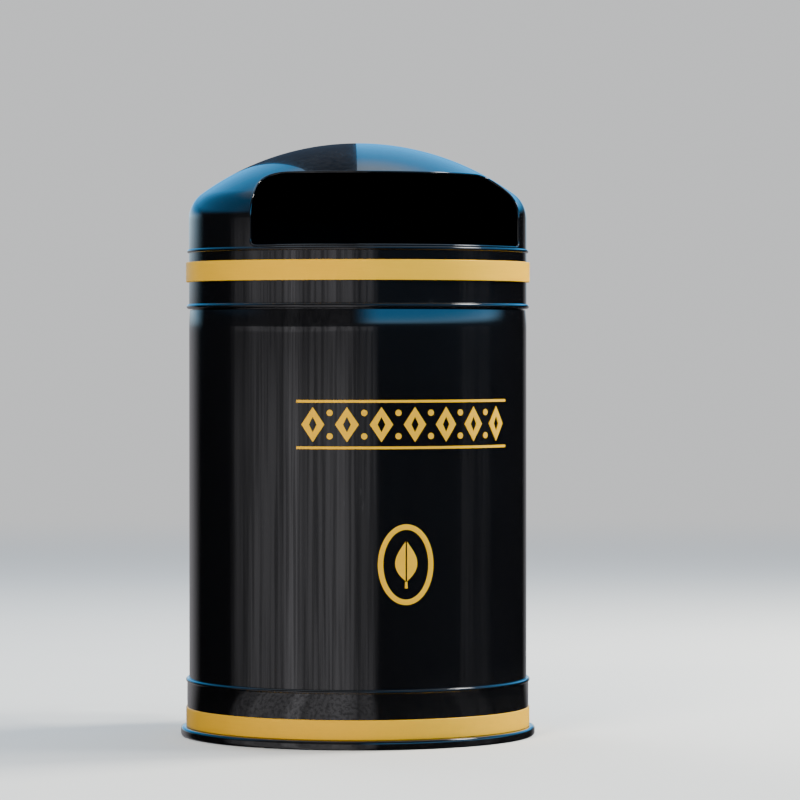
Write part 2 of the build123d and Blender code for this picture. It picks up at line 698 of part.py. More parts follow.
with BuildPart() as hinge_hood_rivets:
    for turn in (-RIVET_STEP, 0, RIVET_STEP):
        add(rivet(HINGE_AZIMUTH + turn, HOOD_RIVET_Z))
hinge_hood_rivets.part.label = "hinge_hood_rivets"
export_step(hinge_hood_rivets.part, "parts/hinge_hood_rivets.step")

# ==== hood =========================================================================

# rolled skirt, which carries the hinge and the lock
with BuildPart() as hood_skirt:
    with BuildSketch(Plane.XY.offset(HOOD_LOW)):
        Circle(BODY_R)
        Circle(BODY_INNER_R, mode=Mode.SUBTRACT)
    extrude(amount=BEAD_Z - HOOD_LOW)
    with BuildSketch(radial_plane(LOCK_AZIMUTH, LOCK_TUBE_IN, LOCK_Z)):
        Circle(LOCK_TUBE_R)
    extrude(amount=LOCK_FACE_OUT - LOCK_TUBE_IN, mode=Mode.SUBTRACT)
    for turn in (-RIVET_STEP, 0, RIVET_STEP):
        with BuildSketch(radial_plane(HINGE_AZIMUTH + turn, BODY_R - 2 * SHEET, HOOD_RIVET_Z)):
            Circle(RIVET_R)
        extrude(amount=4 * SHEET, mode=Mode.SUBTRACT)
hood_skirt.part.label = "hood_skirt"
export_step(hood_skirt.part, "parts/hood_skirt.step")

# spun dome welded on top of the skirt, cut open at the front
with BuildPart() as hood_dome:
    revolve(dome_section(0, BEAD_Z), axis=Axis.Z)
    revolve(dome_section(SHEET, BEAD_Z - SHEET), axis=Axis.Z, mode=Mode.SUBTRACT)
    extrude(aperture_outline(0, APERTURE_CUT_START), amount=BODY_R, mode=Mode.SUBTRACT)
hood_dome.part.label = "hood_dome"
export_step(hood_dome.part, "parts/hood_dome.step")

# edging around the aperture, a little proud of the dome
with BuildPart() as aperture_trim:
    revolve(dome_section(-TRIM_PROUD, BEAD_Z), axis=Axis.Z)
    revolve(dome_section(TRIM_DEPTH, BEAD_Z - SHEET), axis=Axis.Z, mode=Mode.SUBTRACT)
    extrude(aperture_outline(0, APERTURE_CUT_START), amount=BODY_R, mode=Mode.INTERSECT)
    extrude(aperture_outline(TRIM_W, APERTURE_CUT_START), amount=BODY_R, mode=Mode.SUBTRACT)
aperture_trim.part.label = "aperture_trim"
export_step(aperture_trim.part, "parts/aperture_trim.step")

hood_band = ring(BODY_R, GOLD_R, HOOD_BAND_LOW, HOOD_BAND_TOP, GOLD_EDGE)
hood_band.part.label = "hood_band"
export_step(hood_band.part, "parts/hood_band.step")

# thin half-round bead that covers the seam under the aperture
with BuildPart() as hood_bead:
    with BuildSketch(Plane.XZ):
        with Locations((BODY_R, BEAD_Z)):
            Circle(BEAD_R)
            Rectangle(BODY_R, 4 * BEAD_R, align=(Align.MAX, Align.CENTER), mode=Mode.SUBTRACT)
    revolve(axis=Axis.Z)
hood_bead.part.label = "hood_bead"
export_step(hood_bead.part, "parts/hood_bead.step")

# rolled hem on the skirt's lower edge, stopped short at the hinge
with BuildPart() as hood_hem:
    with BuildSketch(Plane.XZ):
        with Locations((BODY_R, HEM_Z)):
            Circle(HEM_R)
            Rectangle(BODY_R, 4 * HEM_R, align=(Align.MAX, Align.CENTER), mode=Mode.SUBTRACT)
    revolve(axis=Axis.Z)
    with BuildSketch(radial_plane(HINGE_AZIMUTH, BODY_INNER_R - HEM_R, HEM_Z)):
        Rectangle(2 * (HINGE_HALF + HEM_CLEAR), 4 * HEM_R)
    extrude(amount=4 * HEM_R, mode=Mode.SUBTRACT)
hood_hem.part.label = "hood_hem"
export_step(hood_hem.part, "parts/hood_hem.step")

# ==== cam lock =====================================================================

# threaded sleeve with a round face plate, fixed in the hood
with BuildPart() as lock_housing:
    with BuildSketch(radial_plane(LOCK_AZIMUTH, LOCK_TUBE_IN, LOCK_Z)):
        Circle(LOCK_TUBE_R)
    extrude(amount=BODY_R - LOCK_TUBE_IN)
    with BuildSketch(radial_plane(LOCK_AZIMUTH, BODY_R, LOCK_Z)):
        Circle(LOCK_FACE_R)
    extrude(amount=LOCK_FACE_OUT - BODY_R)
    fillet(lock_housing.edges().filter_by(GeomType.CIRCLE).sort_by(SortBy.RADIUS)[-1], LOCK_EDGE)
    with BuildSketch(radial_plane(LOCK_AZIMUTH, LOCK_TUBE_IN, LOCK_Z)):
        Circle(LOCK_BORE_R)
    extrude(amount=LOCK_FACE_OUT - LOCK_TUBE_IN, mode=Mode.SUBTRACT)
lock_housing.part.label = "lock_housing"
export_step(lock_housing.part, "parts/lock_housing.step")

with BuildPart() as lock_nut:
    with BuildSketch(radial_plane(LOCK_AZIMUTH, LOCK_NUT_IN, LOCK_Z)):
        RegularPolygon(LOCK_FACE_R, 6)
        Circle(LOCK_TUBE_R, mode=Mode.SUBTRACT)
    extrude(amount=LOCK_NUT_T)
lock_nut.part.label = "lock_nut"
export_step(lock_nut.part, "parts/lock_nut.step")

# turning barrel with a three-sided key socket
with BuildPart() as lock_barrel:
    with BuildSketch(radial_plane(LOCK_AZIMUTH, CAM_IN + CAM_T, LOCK_Z)):
        Circle(BARREL_R)
    extrude(amount=BARREL_OUT - CAM_IN - CAM_T)
    with BuildSketch(radial_plane(LOCK_AZIMUTH, KEY_FLOOR, LOCK_Z)):
        RegularPolygon(KEY_R, 3)
    extrude(amount=BARREL_OUT - KEY_FLOOR, mode=Mode.SUBTRACT)
lock_barrel.part.label = "lock_barrel"
export_step(lock_barrel.part, "parts/lock_barrel.step")

# cam arm, hanging down when unlocked
with BuildPart() as lock_cam:
    with BuildSketch(radial_plane(LOCK_AZIMUTH, CAM_IN, LOCK_Z)):
        Circle(CAM_BOSS_R)
        Rectangle(CAM_W, CAM_REACH, align=(Align.CENTER, Align.MAX))
    extrude(amount=CAM_T)
lock_cam.part.label = "lock_cam"
export_step(lock_cam.part, "parts/lock_cam.step")

with BuildPart() as cam_screw:
    with BuildSketch(radial_plane(LOCK_AZIMUTH, CAM_IN - CAM_SCREW_T, LOCK_Z)):
        RegularPolygon(CAM_SCREW_R, 6)
    extrude(amount=CAM_SCREW_T)
cam_screw.part.label = "cam_screw"
export_step(cam_screw.part, "parts/cam_screw.step")

# keeper on the collar: a plate with a lip that the turned cam lies under
with BuildPart() as lock_keeper:
    foot_plane = radial_plane(LOCK_AZIMUTH, KEEPER_IN, KEEPER_LOW)
    keeper_mid = (KEEPER_NEAR + KEEPER_FAR) / 2
    keeper_w = KEEPER_FAR - KEEPER_NEAR
    with BuildSketch(foot_plane):
        with Locations((keeper_mid, 0)):
            Rectangle(keeper_w, KEEPER_LIP_Z + KEEPER_T - KEEPER_LOW, align=(Align.CENTER, Align.MIN))
    extrude(amount=KEEPER_T)
    with BuildSketch(foot_plane):
        with Locations((keeper_mid, 0)):
            Rectangle(keeper_w, KEEPER_FOOT, align=(Align.CENTER, Align.MIN))
    extrude(amount=KEEPER_FOOT)
    with BuildSketch(foot_plane):
        with Locations((keeper_mid, KEEPER_LIP_Z - KEEPER_LOW)):
            Rectangle(keeper_w, KEEPER_T, align=(Align.CENTER, Align.MIN))
    extrude(amount=KEEPER_LIP_OUT - KEEPER_IN)
    with BuildSketch(Plane.XY.offset(KEEPER_LOW)):
        Circle(BODY_INNER_R - SHEET)
    extrude(amount=HOOD_BAND_LOW - KEEPER_LOW, mode=Mode.INTERSECT)
lock_keeper.part.label = "lock_keeper"
export_step(lock_keeper.part, "parts/lock_keeper.step")

# ==== liner ========================================================================


def liner_edge(radius, low):
    """One face of the liner's wall, upwards from low, with its swaged ribs."""
    points = [(radius, low)]
    for height in SWAGE_Z:
        points.append((radius, height - SWAGE_HALF))
        points.append((radius + SWAGE_OUT, height - SWAGE_HALF / 2))
        points.append((radius + SWAGE_OUT, height + SWAGE_HALF / 2))
        points.append((radius, height + SWAGE_HALF))
    points.append((radius, LINER_TOP))
    return points


with BuildPart() as liner_bucket:
    outside = liner_edge(LINER_R, LINER_LOW)
    inside = liner_edge(LINER_R - LINER_T, LINER_LOW + LINER_T)
    with BuildSketch(Plane.XZ):
        with BuildLine():
            Polyline((0, LINER_LOW), *outside, *reversed(inside), (0, LINER_LOW + LINER_T), close=True)
        make_face()
    revolve(axis=Axis.Z)
liner_bucket.part.label = "liner_bucket"
export_step(liner_bucket.part, "parts/liner_bucket.step")

# wired edge along the liner's mouth
with BuildPart() as liner_rim:
    with BuildSketch(Plane.XZ):
        with Locations((LINER_R, LINER_TOP + LINER_RIM_R)):
            Circle(LINER_RIM_R)
    revolve(axis=Axis.Z)
liner_rim.part.label = "liner_rim"
export_step(liner_rim.part, "parts/liner_rim.step")

# four ears welded inside the liner, bored for the handles
with BuildPart() as handle_ears:
    for start in (-EAR_Y - EAR_T, EAR_Y):
        with BuildSketch(Plane.XZ.offset(-start - EAR_T)):
            with Locations((0, HANDLE_Z)):
                Rectangle(2 * LINER_R, EAR_H)
                Rectangle(2 * EAR_IN_X, EAR_H, mode=Mode.SUBTRACT)
            with Locations((-HANDLE_X, HANDLE_Z), (HANDLE_X, HANDLE_Z)):
                Circle(HANDLE_ROD_R + EAR_PLAY, mode=Mode.SUBTRACT)
        extrude(amount=EAR_T)
    with BuildSketch(Plane.XY.offset(HANDLE_Z - EAR_H)):
        Circle(LINER_R - LINER_T)
    extrude(amount=2 * EAR_H, mode=Mode.INTERSECT)
handle_ears.part.label = "handle_ears"
export_step(handle_ears.part, "parts/handle_ears.step")

# two drop handles of bent rod, hanging inside the liner
for name, x in {"handle_left": -HANDLE_X, "handle_right": HANDLE_X}.items():
    with BuildPart() as handle:
        with BuildLine() as handle_path:
            FilletPolyline(
                (x, -HANDLE_END_Y, HANDLE_Z),
                (x, -HANDLE_LEG_Y, HANDLE_Z),
                (x, -HANDLE_LEG_Y, HANDLE_Z - HANDLE_DROP),
                (x, HANDLE_LEG_Y, HANDLE_Z - HANDLE_DROP),
                (x, HANDLE_LEG_Y, HANDLE_Z),
                (x, HANDLE_END_Y, HANDLE_Z),
                radius=HANDLE_BEND_R,
            )
        with BuildSketch(Plane(origin=(x, -HANDLE_END_Y, HANDLE_Z), z_dir=(0, 1, 0))):
            Circle(HANDLE_ROD_R)
        sweep(path=handle_path.line)
    handle.part.label = name
    export_step(handle.part, f"parts/{name}.step")
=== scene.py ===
import json
from math import acos, asin, atan2, ceil, cos, pi, radians, sin, sqrt

import bmesh
import bpy
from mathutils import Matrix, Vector, noise


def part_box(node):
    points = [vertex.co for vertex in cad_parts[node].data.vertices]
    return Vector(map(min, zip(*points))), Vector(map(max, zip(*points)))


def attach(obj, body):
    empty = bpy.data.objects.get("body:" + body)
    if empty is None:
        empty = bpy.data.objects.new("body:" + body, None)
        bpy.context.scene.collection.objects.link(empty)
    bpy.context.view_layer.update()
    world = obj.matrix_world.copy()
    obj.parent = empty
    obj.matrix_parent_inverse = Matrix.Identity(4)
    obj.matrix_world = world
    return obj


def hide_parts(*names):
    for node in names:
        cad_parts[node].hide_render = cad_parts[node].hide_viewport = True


bl_info = {
    "name": "Post-mounted litter bin",
    "version": (1, 0, 0),
    "blender": (4, 5, 0),
    "location": "3D View > Sidebar > Litter bin",
    "description": "Builds the visible pieces of a domed litter bin around its packed frame",
    "category": "Object",
}

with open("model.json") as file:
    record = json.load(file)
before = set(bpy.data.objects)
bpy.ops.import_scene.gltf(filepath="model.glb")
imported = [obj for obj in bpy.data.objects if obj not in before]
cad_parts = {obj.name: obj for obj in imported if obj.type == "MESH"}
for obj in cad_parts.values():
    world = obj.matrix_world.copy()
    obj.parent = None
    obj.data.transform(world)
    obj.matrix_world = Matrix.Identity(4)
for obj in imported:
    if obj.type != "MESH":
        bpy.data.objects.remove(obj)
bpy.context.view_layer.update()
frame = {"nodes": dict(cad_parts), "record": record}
NODES = frame["nodes"]


def low(node):
    """The lowest height of a node."""
    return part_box(node)[0].z


def high(node):
    """The highest height of a node."""
    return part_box(node)[1].z


MM = 0.001
BODY_R = round(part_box("body_shell")[1].x, 3)
BODY_TOP = high("body_shell")
FLANGE_R = round(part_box("base_ring")[1].x, 3)
LINER_R = round(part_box("liner_rim")[1].x, 3) - 3 * MM
HOOD_LOW = low("hood_skirt")
APEX_Z = high("hood_dome")
SHEET = 1.5 * MM
KNUCKLE_R = 36 * MM
CROWN_R = 315 * MM
RISE = sqrt((CROWN_R - KNUCKLE_R) ** 2 - (BODY_R - KNUCKLE_R) ** 2)
CROWN_Z = APEX_Z - CROWN_R
SPRING_Z = CROWN_Z + RISE
KNUCKLE_TURN = atan2(RISE, BODY_R - KNUCKLE_R)
HINGE_TURN = radians(104)
HINGE_HALF = 28 * MM
BAND_OUT = 3.6 * MM
AROUND = 288
BACKDROP = (0.74, 0.75, 0.76, 1)
# how bright the street round the bin is, as (azimuth from the bin's front in degrees, strength)
STREET = ((-113, 0), (-106, 0.3), (-97, 0.32), (-92, 0.65), (-74, 0.62), (-68, 0.6), (-63, 1.15),
          (-57, 1.1), (-53, 0.42), (-49, 0.75), (-37, 0.75), (-33, 0.92), (-27, 0.9), (-19, 0.7),
          (-15, 0.34), (-11, 0.55), (-6, 0.5), (-2, 0.02), (56, 0.02), (60, 0.14), (67, 0.12),
          (72, 0.06), (80, 0.1), (87, 0))


# ---- meshes -----------------------------------------------------------------------


def new_piece(name, shape, body, material, replaced=(), sharp=32):
    """A finished piece from its points and faces, with its body, material and the nodes it stands for."""
    verts, faces = shape
    mesh = bpy.data.meshes.new(name)
    mesh.from_pydata([tuple(v) for v in verts], [], faces)
    return finish_mesh(name, mesh, body, material, replaced, sharp)


def finish_mesh(name, mesh, body, material, replaced=(), sharp=32, recalc=True):
    work = bmesh.new()
    work.from_mesh(mesh)
    bmesh.ops.remove_doubles(work, verts=work.verts, dist=1e-6)
    bmesh.ops.dissolve_degenerate(work, edges=work.edges, dist=1e-6)
    if recalc:
        bmesh.ops.recalc_face_normals(work, faces=work.faces)
    work.to_mesh(mesh)
    work.free()
    mesh.shade_smooth()
    mesh.set_sharp_from_angle(angle=radians(sharp))
    mesh.materials.clear()
    mesh.materials.append(material)
    piece = bpy.data.objects.new(name, mesh)
    bpy.context.scene.collection.objects.link(piece)
    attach(piece, body)
    if replaced:
        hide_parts(*replaced)
    return piece


def scratch_object(name, verts, faces):
    """An object for a step in between, with its faces turned outward."""
    mesh = bpy.data.meshes.new(name)
    mesh.from_pydata(verts, [], faces)
    work = bmesh.new()
    work.from_mesh(mesh)
    bmesh.ops.recalc_face_normals(work, faces=work.faces)
    work.to_mesh(mesh)
    work.free()
    made = bpy.data.objects.new(name, mesh)
    bpy.context.scene.collection.objects.link(made)
    return made


def evaluated_mesh(thing):
    """The mesh that an object comes to with its modifiers."""
    bpy.context.view_layer.update()
    return bpy.data.meshes.new_from_object(thing.evaluated_get(bpy.context.evaluated_depsgraph_get()))


def full_turn(count):
    """Angles at equal steps round a circle."""
    return [2 * pi * step / count for step in range(count)]


def skin(rings, sides, closed=False):
    """Faces between rings of points in a row, with a cap at each end unless the row closes on itself."""
    faces = []
    for ring in range(rings if closed else rings - 1):
        ahead = (ring + 1) % rings
        for side in range(sides):
            onward = (side + 1) % sides
            faces.append([ring * sides + side, ring * sides + onward,
                          ahead * sides + onward, ahead * sides + side])
    if not closed:
        faces += [list(range(sides)), list(range((rings - 1) * sides, rings * sides))]
    return faces


def soften(corners, radius, steps=5, closed=True):
    """The same outline with each corner rounded off."""
    points = [Vector(corner) for corner in corners]
    rounded = []
    for index, here in enumerate(points):
        if not closed and index in (0, len(points) - 1):
            rounded.append(here)
            continue
        into = here - points[index - 1]
        out = points[(index + 1) % len(points)] - here
        cut = min(radius, into.length * 0.45, out.length * 0.45)
        start = here - into.normalized() * cut
        end = here + out.normalized() * cut
        if closed:
            rounded.append(start - into.normalized() * min(radius * 0.15, into.length * 0.04))
        for step in range(steps + 1):
            t = step / steps
            rounded.append(start * (1 - t) ** 2 + here * 2 * t * (1 - t) + end * t * t)
        if closed:
            rounded.append(end + out.normalized() * min(radius * 0.15, out.length * 0.04))
    return rounded


def lathe_mesh(outline, around=AROUND, wave=None):
    """A closed outline of (radius, height) turned round the bin's axis."""
    verts, rings, faces = [], [], []
    for radius, height in outline:
        if radius < 1e-6:
            rings.append([len(verts)] * around)
            verts.append((0, 0, height))
            continue
        rings.append(list(range(len(verts), len(verts) + around)))
        for turn in full_turn(around):
            reach = radius + (wave(turn, height) if wave else 0)
            verts.append((reach * sin(turn), -reach * cos(turn), height))
    for ring, following in zip(rings, rings[1:] + rings[:1]):
        for index in range(around):
            onward = (index + 1) % around
            face = [ring[index], ring[onward], following[onward], following[index]]
            face = list(dict.fromkeys(face))
            if len(face) > 2:
                faces.append(face)
    return verts, faces


def tube_mesh(path, radius, binormal, sides=16):
    """A round rod along a path that lies in one plane, with closed ends."""
    verts = []
    for index, point in enumerate(path):
        ahead = path[min(index + 1, len(path) - 1)] - path[max(index - 1, 0)]
        outward = binormal.cross(ahead.normalized())
        for turn in full_turn(sides):
            verts.append(point + (binormal * cos(turn) + outward * sin(turn)) * radius)
    return verts, skin(len(path), sides)


def on_body(x, z, out, centre=0.0):
    """The point x along the bin's outside from an azimuth, at height z, and out from its face."""
    turn = centre + x / BODY_R
    return Vector(((BODY_R + out) * sin(turn), -(BODY_R + out) * cos(turn), z))


def dome_reach(height, inset=0.0):
    """The radius of the hood's outer face at a height, and its outward normal as (radial, up)."""
    if height <= SPRING_Z:
        return BODY_R - inset, (1.0, 0.0)
    edge_z = SPRING_Z + KNUCKLE_R * sin(KNUCKLE_TURN)
    if height <= edge_z:
        centre_r, centre_z, arc = BODY_R - KNUCKLE_R, SPRING_Z, KNUCKLE_R
    else:
        centre_r, centre_z, arc = 0.0, CROWN_Z, CROWN_R
    lean = asin(min((height - centre_z) / arc, 1))
    return centre_r + (arc - inset) * cos(lean), (cos(lean), sin(lean))


def dome_line(inset, foot):
    """The hood's outline from its foot to its top, inset from its outer face."""
    line = [(BODY_R - inset, foot + (SPRING_Z - foot) * step / 12) for step in range(12)]
    for step in range(17):
        lean = KNUCKLE_TURN * step / 16
        arc = KNUCKLE_R - inset
        line.append((BODY_R - KNUCKLE_R + arc * cos(lean), SPRING_Z + arc * sin(lean)))
    for step in range(1, 31):
        lean = KNUCKLE_TURN + (pi / 2 - KNUCKLE_TURN) * step / 30
        line.append((max((CROWN_R - inset) * cos(lean), 0), CROWN_Z + (CROWN_R - inset) * sin(lean)))
    return line


def band_outline(foot, top):
    """The section of a gold band round the body, its outer corners eased."""
    outer = BODY_R + BAND_OUT
    return soften([(outer, foot), (outer, top), (BODY_R, top), (BODY_R, foot)], 0.9 * MM)


def shade_inside(mesh):
    """Marks the faces of the hood's dull inner side, which its paint reads."""
    mark = mesh.attributes.new("inside", "FLOAT", "FACE")
    for face, value in zip(mesh.polygons, mark.data):
        spot, reach = face.center, dome_reach(face.center.z)[0]
        across = Vector((spot.x, spot.y, 0)).length
        away = Vector((spot.x, spot.y, spot.z - CROWN_Z)).length
        depth = CROWN_R - away if spot.z > SPRING_Z + KNUCKLE_R * sin(KNUCKLE_TURN) else reach - across
        value.value = 1.0 if depth > 0.7 * SHEET else 0.0


def aperture_line(inset=0.0, gap=4 * MM):
    """The throw-in opening seen from the front, as (x, z), counter-clockwise from its lower left."""
    trim_low, trim_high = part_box("aperture_trim")
    half, foot, head = trim_high.x - inset, trim_low.z + inset, trim_high.z - inset
    upper, lower = 50 * MM - inset, 6 * MM - inset
    centres = [(-half + lower, foot + lower, lower, pi), (half - lower, foot + lower, lower, 1.5 * pi),
               (half - upper, head - upper, upper, 0), (-half + upper, head - upper, upper, 0.5 * pi)]
    bends = []
    for x, z, radius, start in centres:
        steps = 6 if radius < 10 * MM else 20
        turns = [start + 0.5 * pi * step / steps for step in range(steps + 1)]
        bends.append([Vector((x + radius * cos(turn), z + radius * sin(turn))) for turn in turns])
    line = []
    for bend, following in zip(bends, bends[1:] + bends[:1]):
        line += bend
        run = following[0] - bend[-1]
        count = max(ceil(run.length / gap), 1)
        line += [bend[-1] + run * step / count for step in range(1, count)]
    return line


# ---- geometry node trees ----------------------------------------------------------


class Tree:
    """A small maker of geometry node trees, with named counts and measures as inputs."""

    def __init__(self, name, counts, measures):
        self.tree = bpy.data.node_groups.new(name, "GeometryNodeTree")
        self.sockets = {}
        face = self.tree.interface
        face.new_socket("Geometry", in_out="OUTPUT", socket_type="NodeSocketGeometry")
        for kind, labels in (("NodeSocketInt", counts), ("NodeSocketFloat", measures)):
            for label in labels:
                made = face.new_socket(label, in_out="INPUT", socket_type=kind)
                self.sockets[label] = made.identifier
        self.entry = self.tree.nodes.new("NodeGroupInput")
        self.exit = self.tree.nodes.new("NodeGroupOutput")

    def given(self, label):
        """The output socket of a named input."""
        return next(s for s in self.entry.outputs if s.name == label)

    def add(self, kind, settings=None, **inputs):
        """A node with its settings, and its inputs linked or set. Underscores stand for spaces."""
        made = self.tree.nodes.new(kind)
        for key, value in (settings or {}).items():
            setattr(made, key, value)
        for key, value in inputs.items():
            if key.startswith("at_"):
                socket = made.inputs[int(key[3:])]
            else:
                wanted = key.replace("_", " ")
                socket = next(s for s in made.inputs if s.name == wanted and s.enabled)
            if isinstance(value, bpy.types.NodeSocket):
                self.tree.links.new(value, socket)
            else:
                socket.default_value = value
        return made

    def maths(self, operation, first, second=0.0):
        """The output of one maths node."""
        return self.add("ShaderNodeMath", {"operation": operation}, at_0=first, at_1=second).outputs[0]

    def times(self, first, second):
        """One value times another."""
        return self.maths("MULTIPLY", first, second)

    def less_one(self, label):
        """A named input less 1."""
        return self.maths("SUBTRACT", self.given(label), 1.0)

    def point(self, **parts):
        """A vector from its X, Y and Z, where one that isn't given is 0."""
        return self.add("ShaderNodeCombineXYZ", **parts).outputs[0]

    def where(self):
        """The X, Y and Z of each point."""
        place = self.add("GeometryNodeInputPosition").outputs[0]
        return self.add("ShaderNodeSeparateXYZ", Vector=place).outputs

    def round_bin(self, reach, turn, along):
        """The place at a radius and an azimuth, raised from the Height input."""
        height = self.maths("ADD", along, self.given("Height"))
        forward = self.times(self.times(reach, self.maths("COSINE", turn)), -1.0)
        return self.point(X=self.times(reach, self.maths("SINE", turn)), Y=forward, Z=height)

    def joined(self, *pieces):
        """Several geometries as one."""
        made = self.tree.nodes.new("GeometryNodeJoinGeometry")
        for piece in reversed(pieces):
            self.tree.links.new(piece, made.inputs[0])
        return made.outputs[0]

    def finish(self, geometry, material):
        """Ends the tree in Realize Instances and Set Material."""
        real = self.add("GeometryNodeRealizeInstances", Geometry=geometry)
        painted = self.add("GeometryNodeSetMaterial", Geometry=real.outputs[0], Material=material)
        self.tree.links.new(painted.outputs[0], self.exit.inputs[0])


def grow(name, maker, values, body, material, replaced=(), sharp=32, recalc=True):
    """Runs a tree once, and keeps its result as a plain mesh."""
    seed = bpy.data.objects.new(name + "_seed", bpy.data.meshes.new(name + "_seed"))
    bpy.context.scene.collection.objects.link(seed)
    modifier = seed.modifiers.new("grow", "NODES")
    modifier.node_group = maker.tree
    for label, value in values.items():
        modifier[maker.sockets[label]] = value
    mesh = evaluated_mesh(seed)
    mesh.name = name
    seed.modifiers.remove(modifier)
    bpy.data.objects.remove(seed)
    if not mesh.polygons:
        raise RuntimeError(name + " came out empty")
    return finish_mesh(name, mesh, body, material, replaced, sharp, recalc)


def frieze_tree(material):
    """Pierced lozenges with dots between two rules, laid out flat and then wrapped round the body."""
    t = Tree("frieze", ["Count"],
             ["Pitch", "Lozenge Width", "Lozenge Height", "Eye", "Dot Radius", "Rule Height",
              "Frieze Height", "Thickness", "Radius", "Azimuth", "Height"])

    def lozenge(width, half_height):
        return t.add("GeometryNodeCurvePrimitiveQuadrilateral", {"mode": "KITE"}, Width=width,
                     Bottom_Height=half_height, Top_Height=half_height).outputs[0]

    def row(count, plate, height):
        span = t.times(t.given("Pitch"), t.maths("SUBTRACT", count, 1.0))
        start = t.point(X=t.times(span, -0.5), Y=height)
        step = t.point(X=t.given("Pitch"))
        line = t.add("GeometryNodeMeshLine", Count=count, Start_Location=start, Offset=step).outputs[0]
        return t.add("GeometryNodeInstanceOnPoints", Points=line, Instance=plate).outputs[0]

    half = t.times(t.given("Lozenge Height"), 0.5)
    outline = t.joined(lozenge(t.given("Lozenge Width"), half), lozenge(t.given("Eye"), t.given("Eye")))
    plate = t.add("GeometryNodeFillCurve", Curve=outline).outputs[0]
    dot = t.add("GeometryNodeMeshCircle", {"fill_type": "NGON"}, Vertices=28,
                Radius=t.given("Dot Radius")).outputs[0]
    between = t.less_one("Count")
    third = t.times(t.given("Lozenge Height"), 1 / 3)
    rows = [row(t.given("Count"), plate, 0.0), row(between, dot, third),
            row(between, dot, t.times(third, -1.0))]
    length = t.times(t.given("Pitch"), t.given("Count"))
    rise = t.times(t.maths("SUBTRACT", t.given("Frieze Height"), t.given("Rule Height")), 0.5)
    rule = t.add("GeometryNodeMeshGrid", Size_X=length, Size_Y=t.given("Rule Height"),
                 Vertices_X=121, Vertices_Y=2)
    for side in (1.0, -1.0):
        place = t.point(Y=t.times(rise, side))
        rows.append(t.add("GeometryNodeTransform", Geometry=rule.outputs[0], Translation=place).outputs[0])
    flat = t.add("GeometryNodeRealizeInstances", Geometry=t.joined(*rows)).outputs[0]
    fine = t.add("GeometryNodeTriangulate", Mesh=flat).outputs[0]
    fine = t.add("GeometryNodeSubdivideMesh", Mesh=fine, Level=2).outputs[0]
    raised = t.add("GeometryNodeExtrudeMesh", {"mode": "FACES"}, Mesh=fine, Offset_Scale=t.given("Thickness"),
                   Individual=False).outputs[0]
    back = t.add("GeometryNodeFlipFaces", Mesh=fine).outputs[0]
    shell = t.add("GeometryNodeMergeByDistance", Geometry=t.joined(raised, back), Distance=1e-6).outputs[0]
    along, up, out = t.where()
    turn = t.maths("ADD", t.maths("DIVIDE", along, t.given("Radius")), t.given("Azimuth"))
    reach = t.maths("ADD", t.given("Radius"), out)
    bent = t.add("GeometryNodeSetPosition", Geometry=shell, Position=t.round_bin(reach, turn, up)).outputs[0]
    t.finish(bent, material)
    return t


def rivet_tree(material):
    """Rows of round-headed rivets on the bin's side, each head along a spoke of the bin."""
    t = Tree("rivets", ["Across", "Up"],
             ["Turn", "Rise", "Head Radius", "Head Height", "Radius", "Azimuth", "Height"])
    head = t.add("GeometryNodeMeshUVSphere", Segments=24, Rings=14, Radius=1.0).outputs[0]
    shape = t.point(X=t.given("Head Radius"), Y=t.given("Head Radius"), Z=t.given("Head Height"))
    head = t.add("GeometryNodeTransform", Geometry=head, Scale=shape).outputs[0]
    grid = t.add("GeometryNodeMeshGrid", Size_X=t.times(t.less_one("Across"), t.given("Turn")),
                 Size_Y=t.times(t.less_one("Up"), t.given("Rise")),
                 Vertices_X=t.given("Across"), Vertices_Y=t.given("Up")).outputs[0]
    along, up = t.where()[:2]
    turn = t.maths("ADD", along, t.given("Azimuth"))
    spot = t.round_bin(t.given("Radius"), turn, up)
    points = t.add("GeometryNodeSetPosition", Geometry=grid, Position=spot).outputs[0]
    x, y = t.where()[:2]
    spoke = t.point(X=x, Y=y)
    aimed = t.add("FunctionNodeAlignRotationToVector", {"axis": "Z"}, Vector=spoke).outputs[0]
    studs = t.add("GeometryNodeInstanceOnPoints", Points=points, Instance=head, Rotation=aimed).outputs[0]
    t.finish(studs, material)
    return t


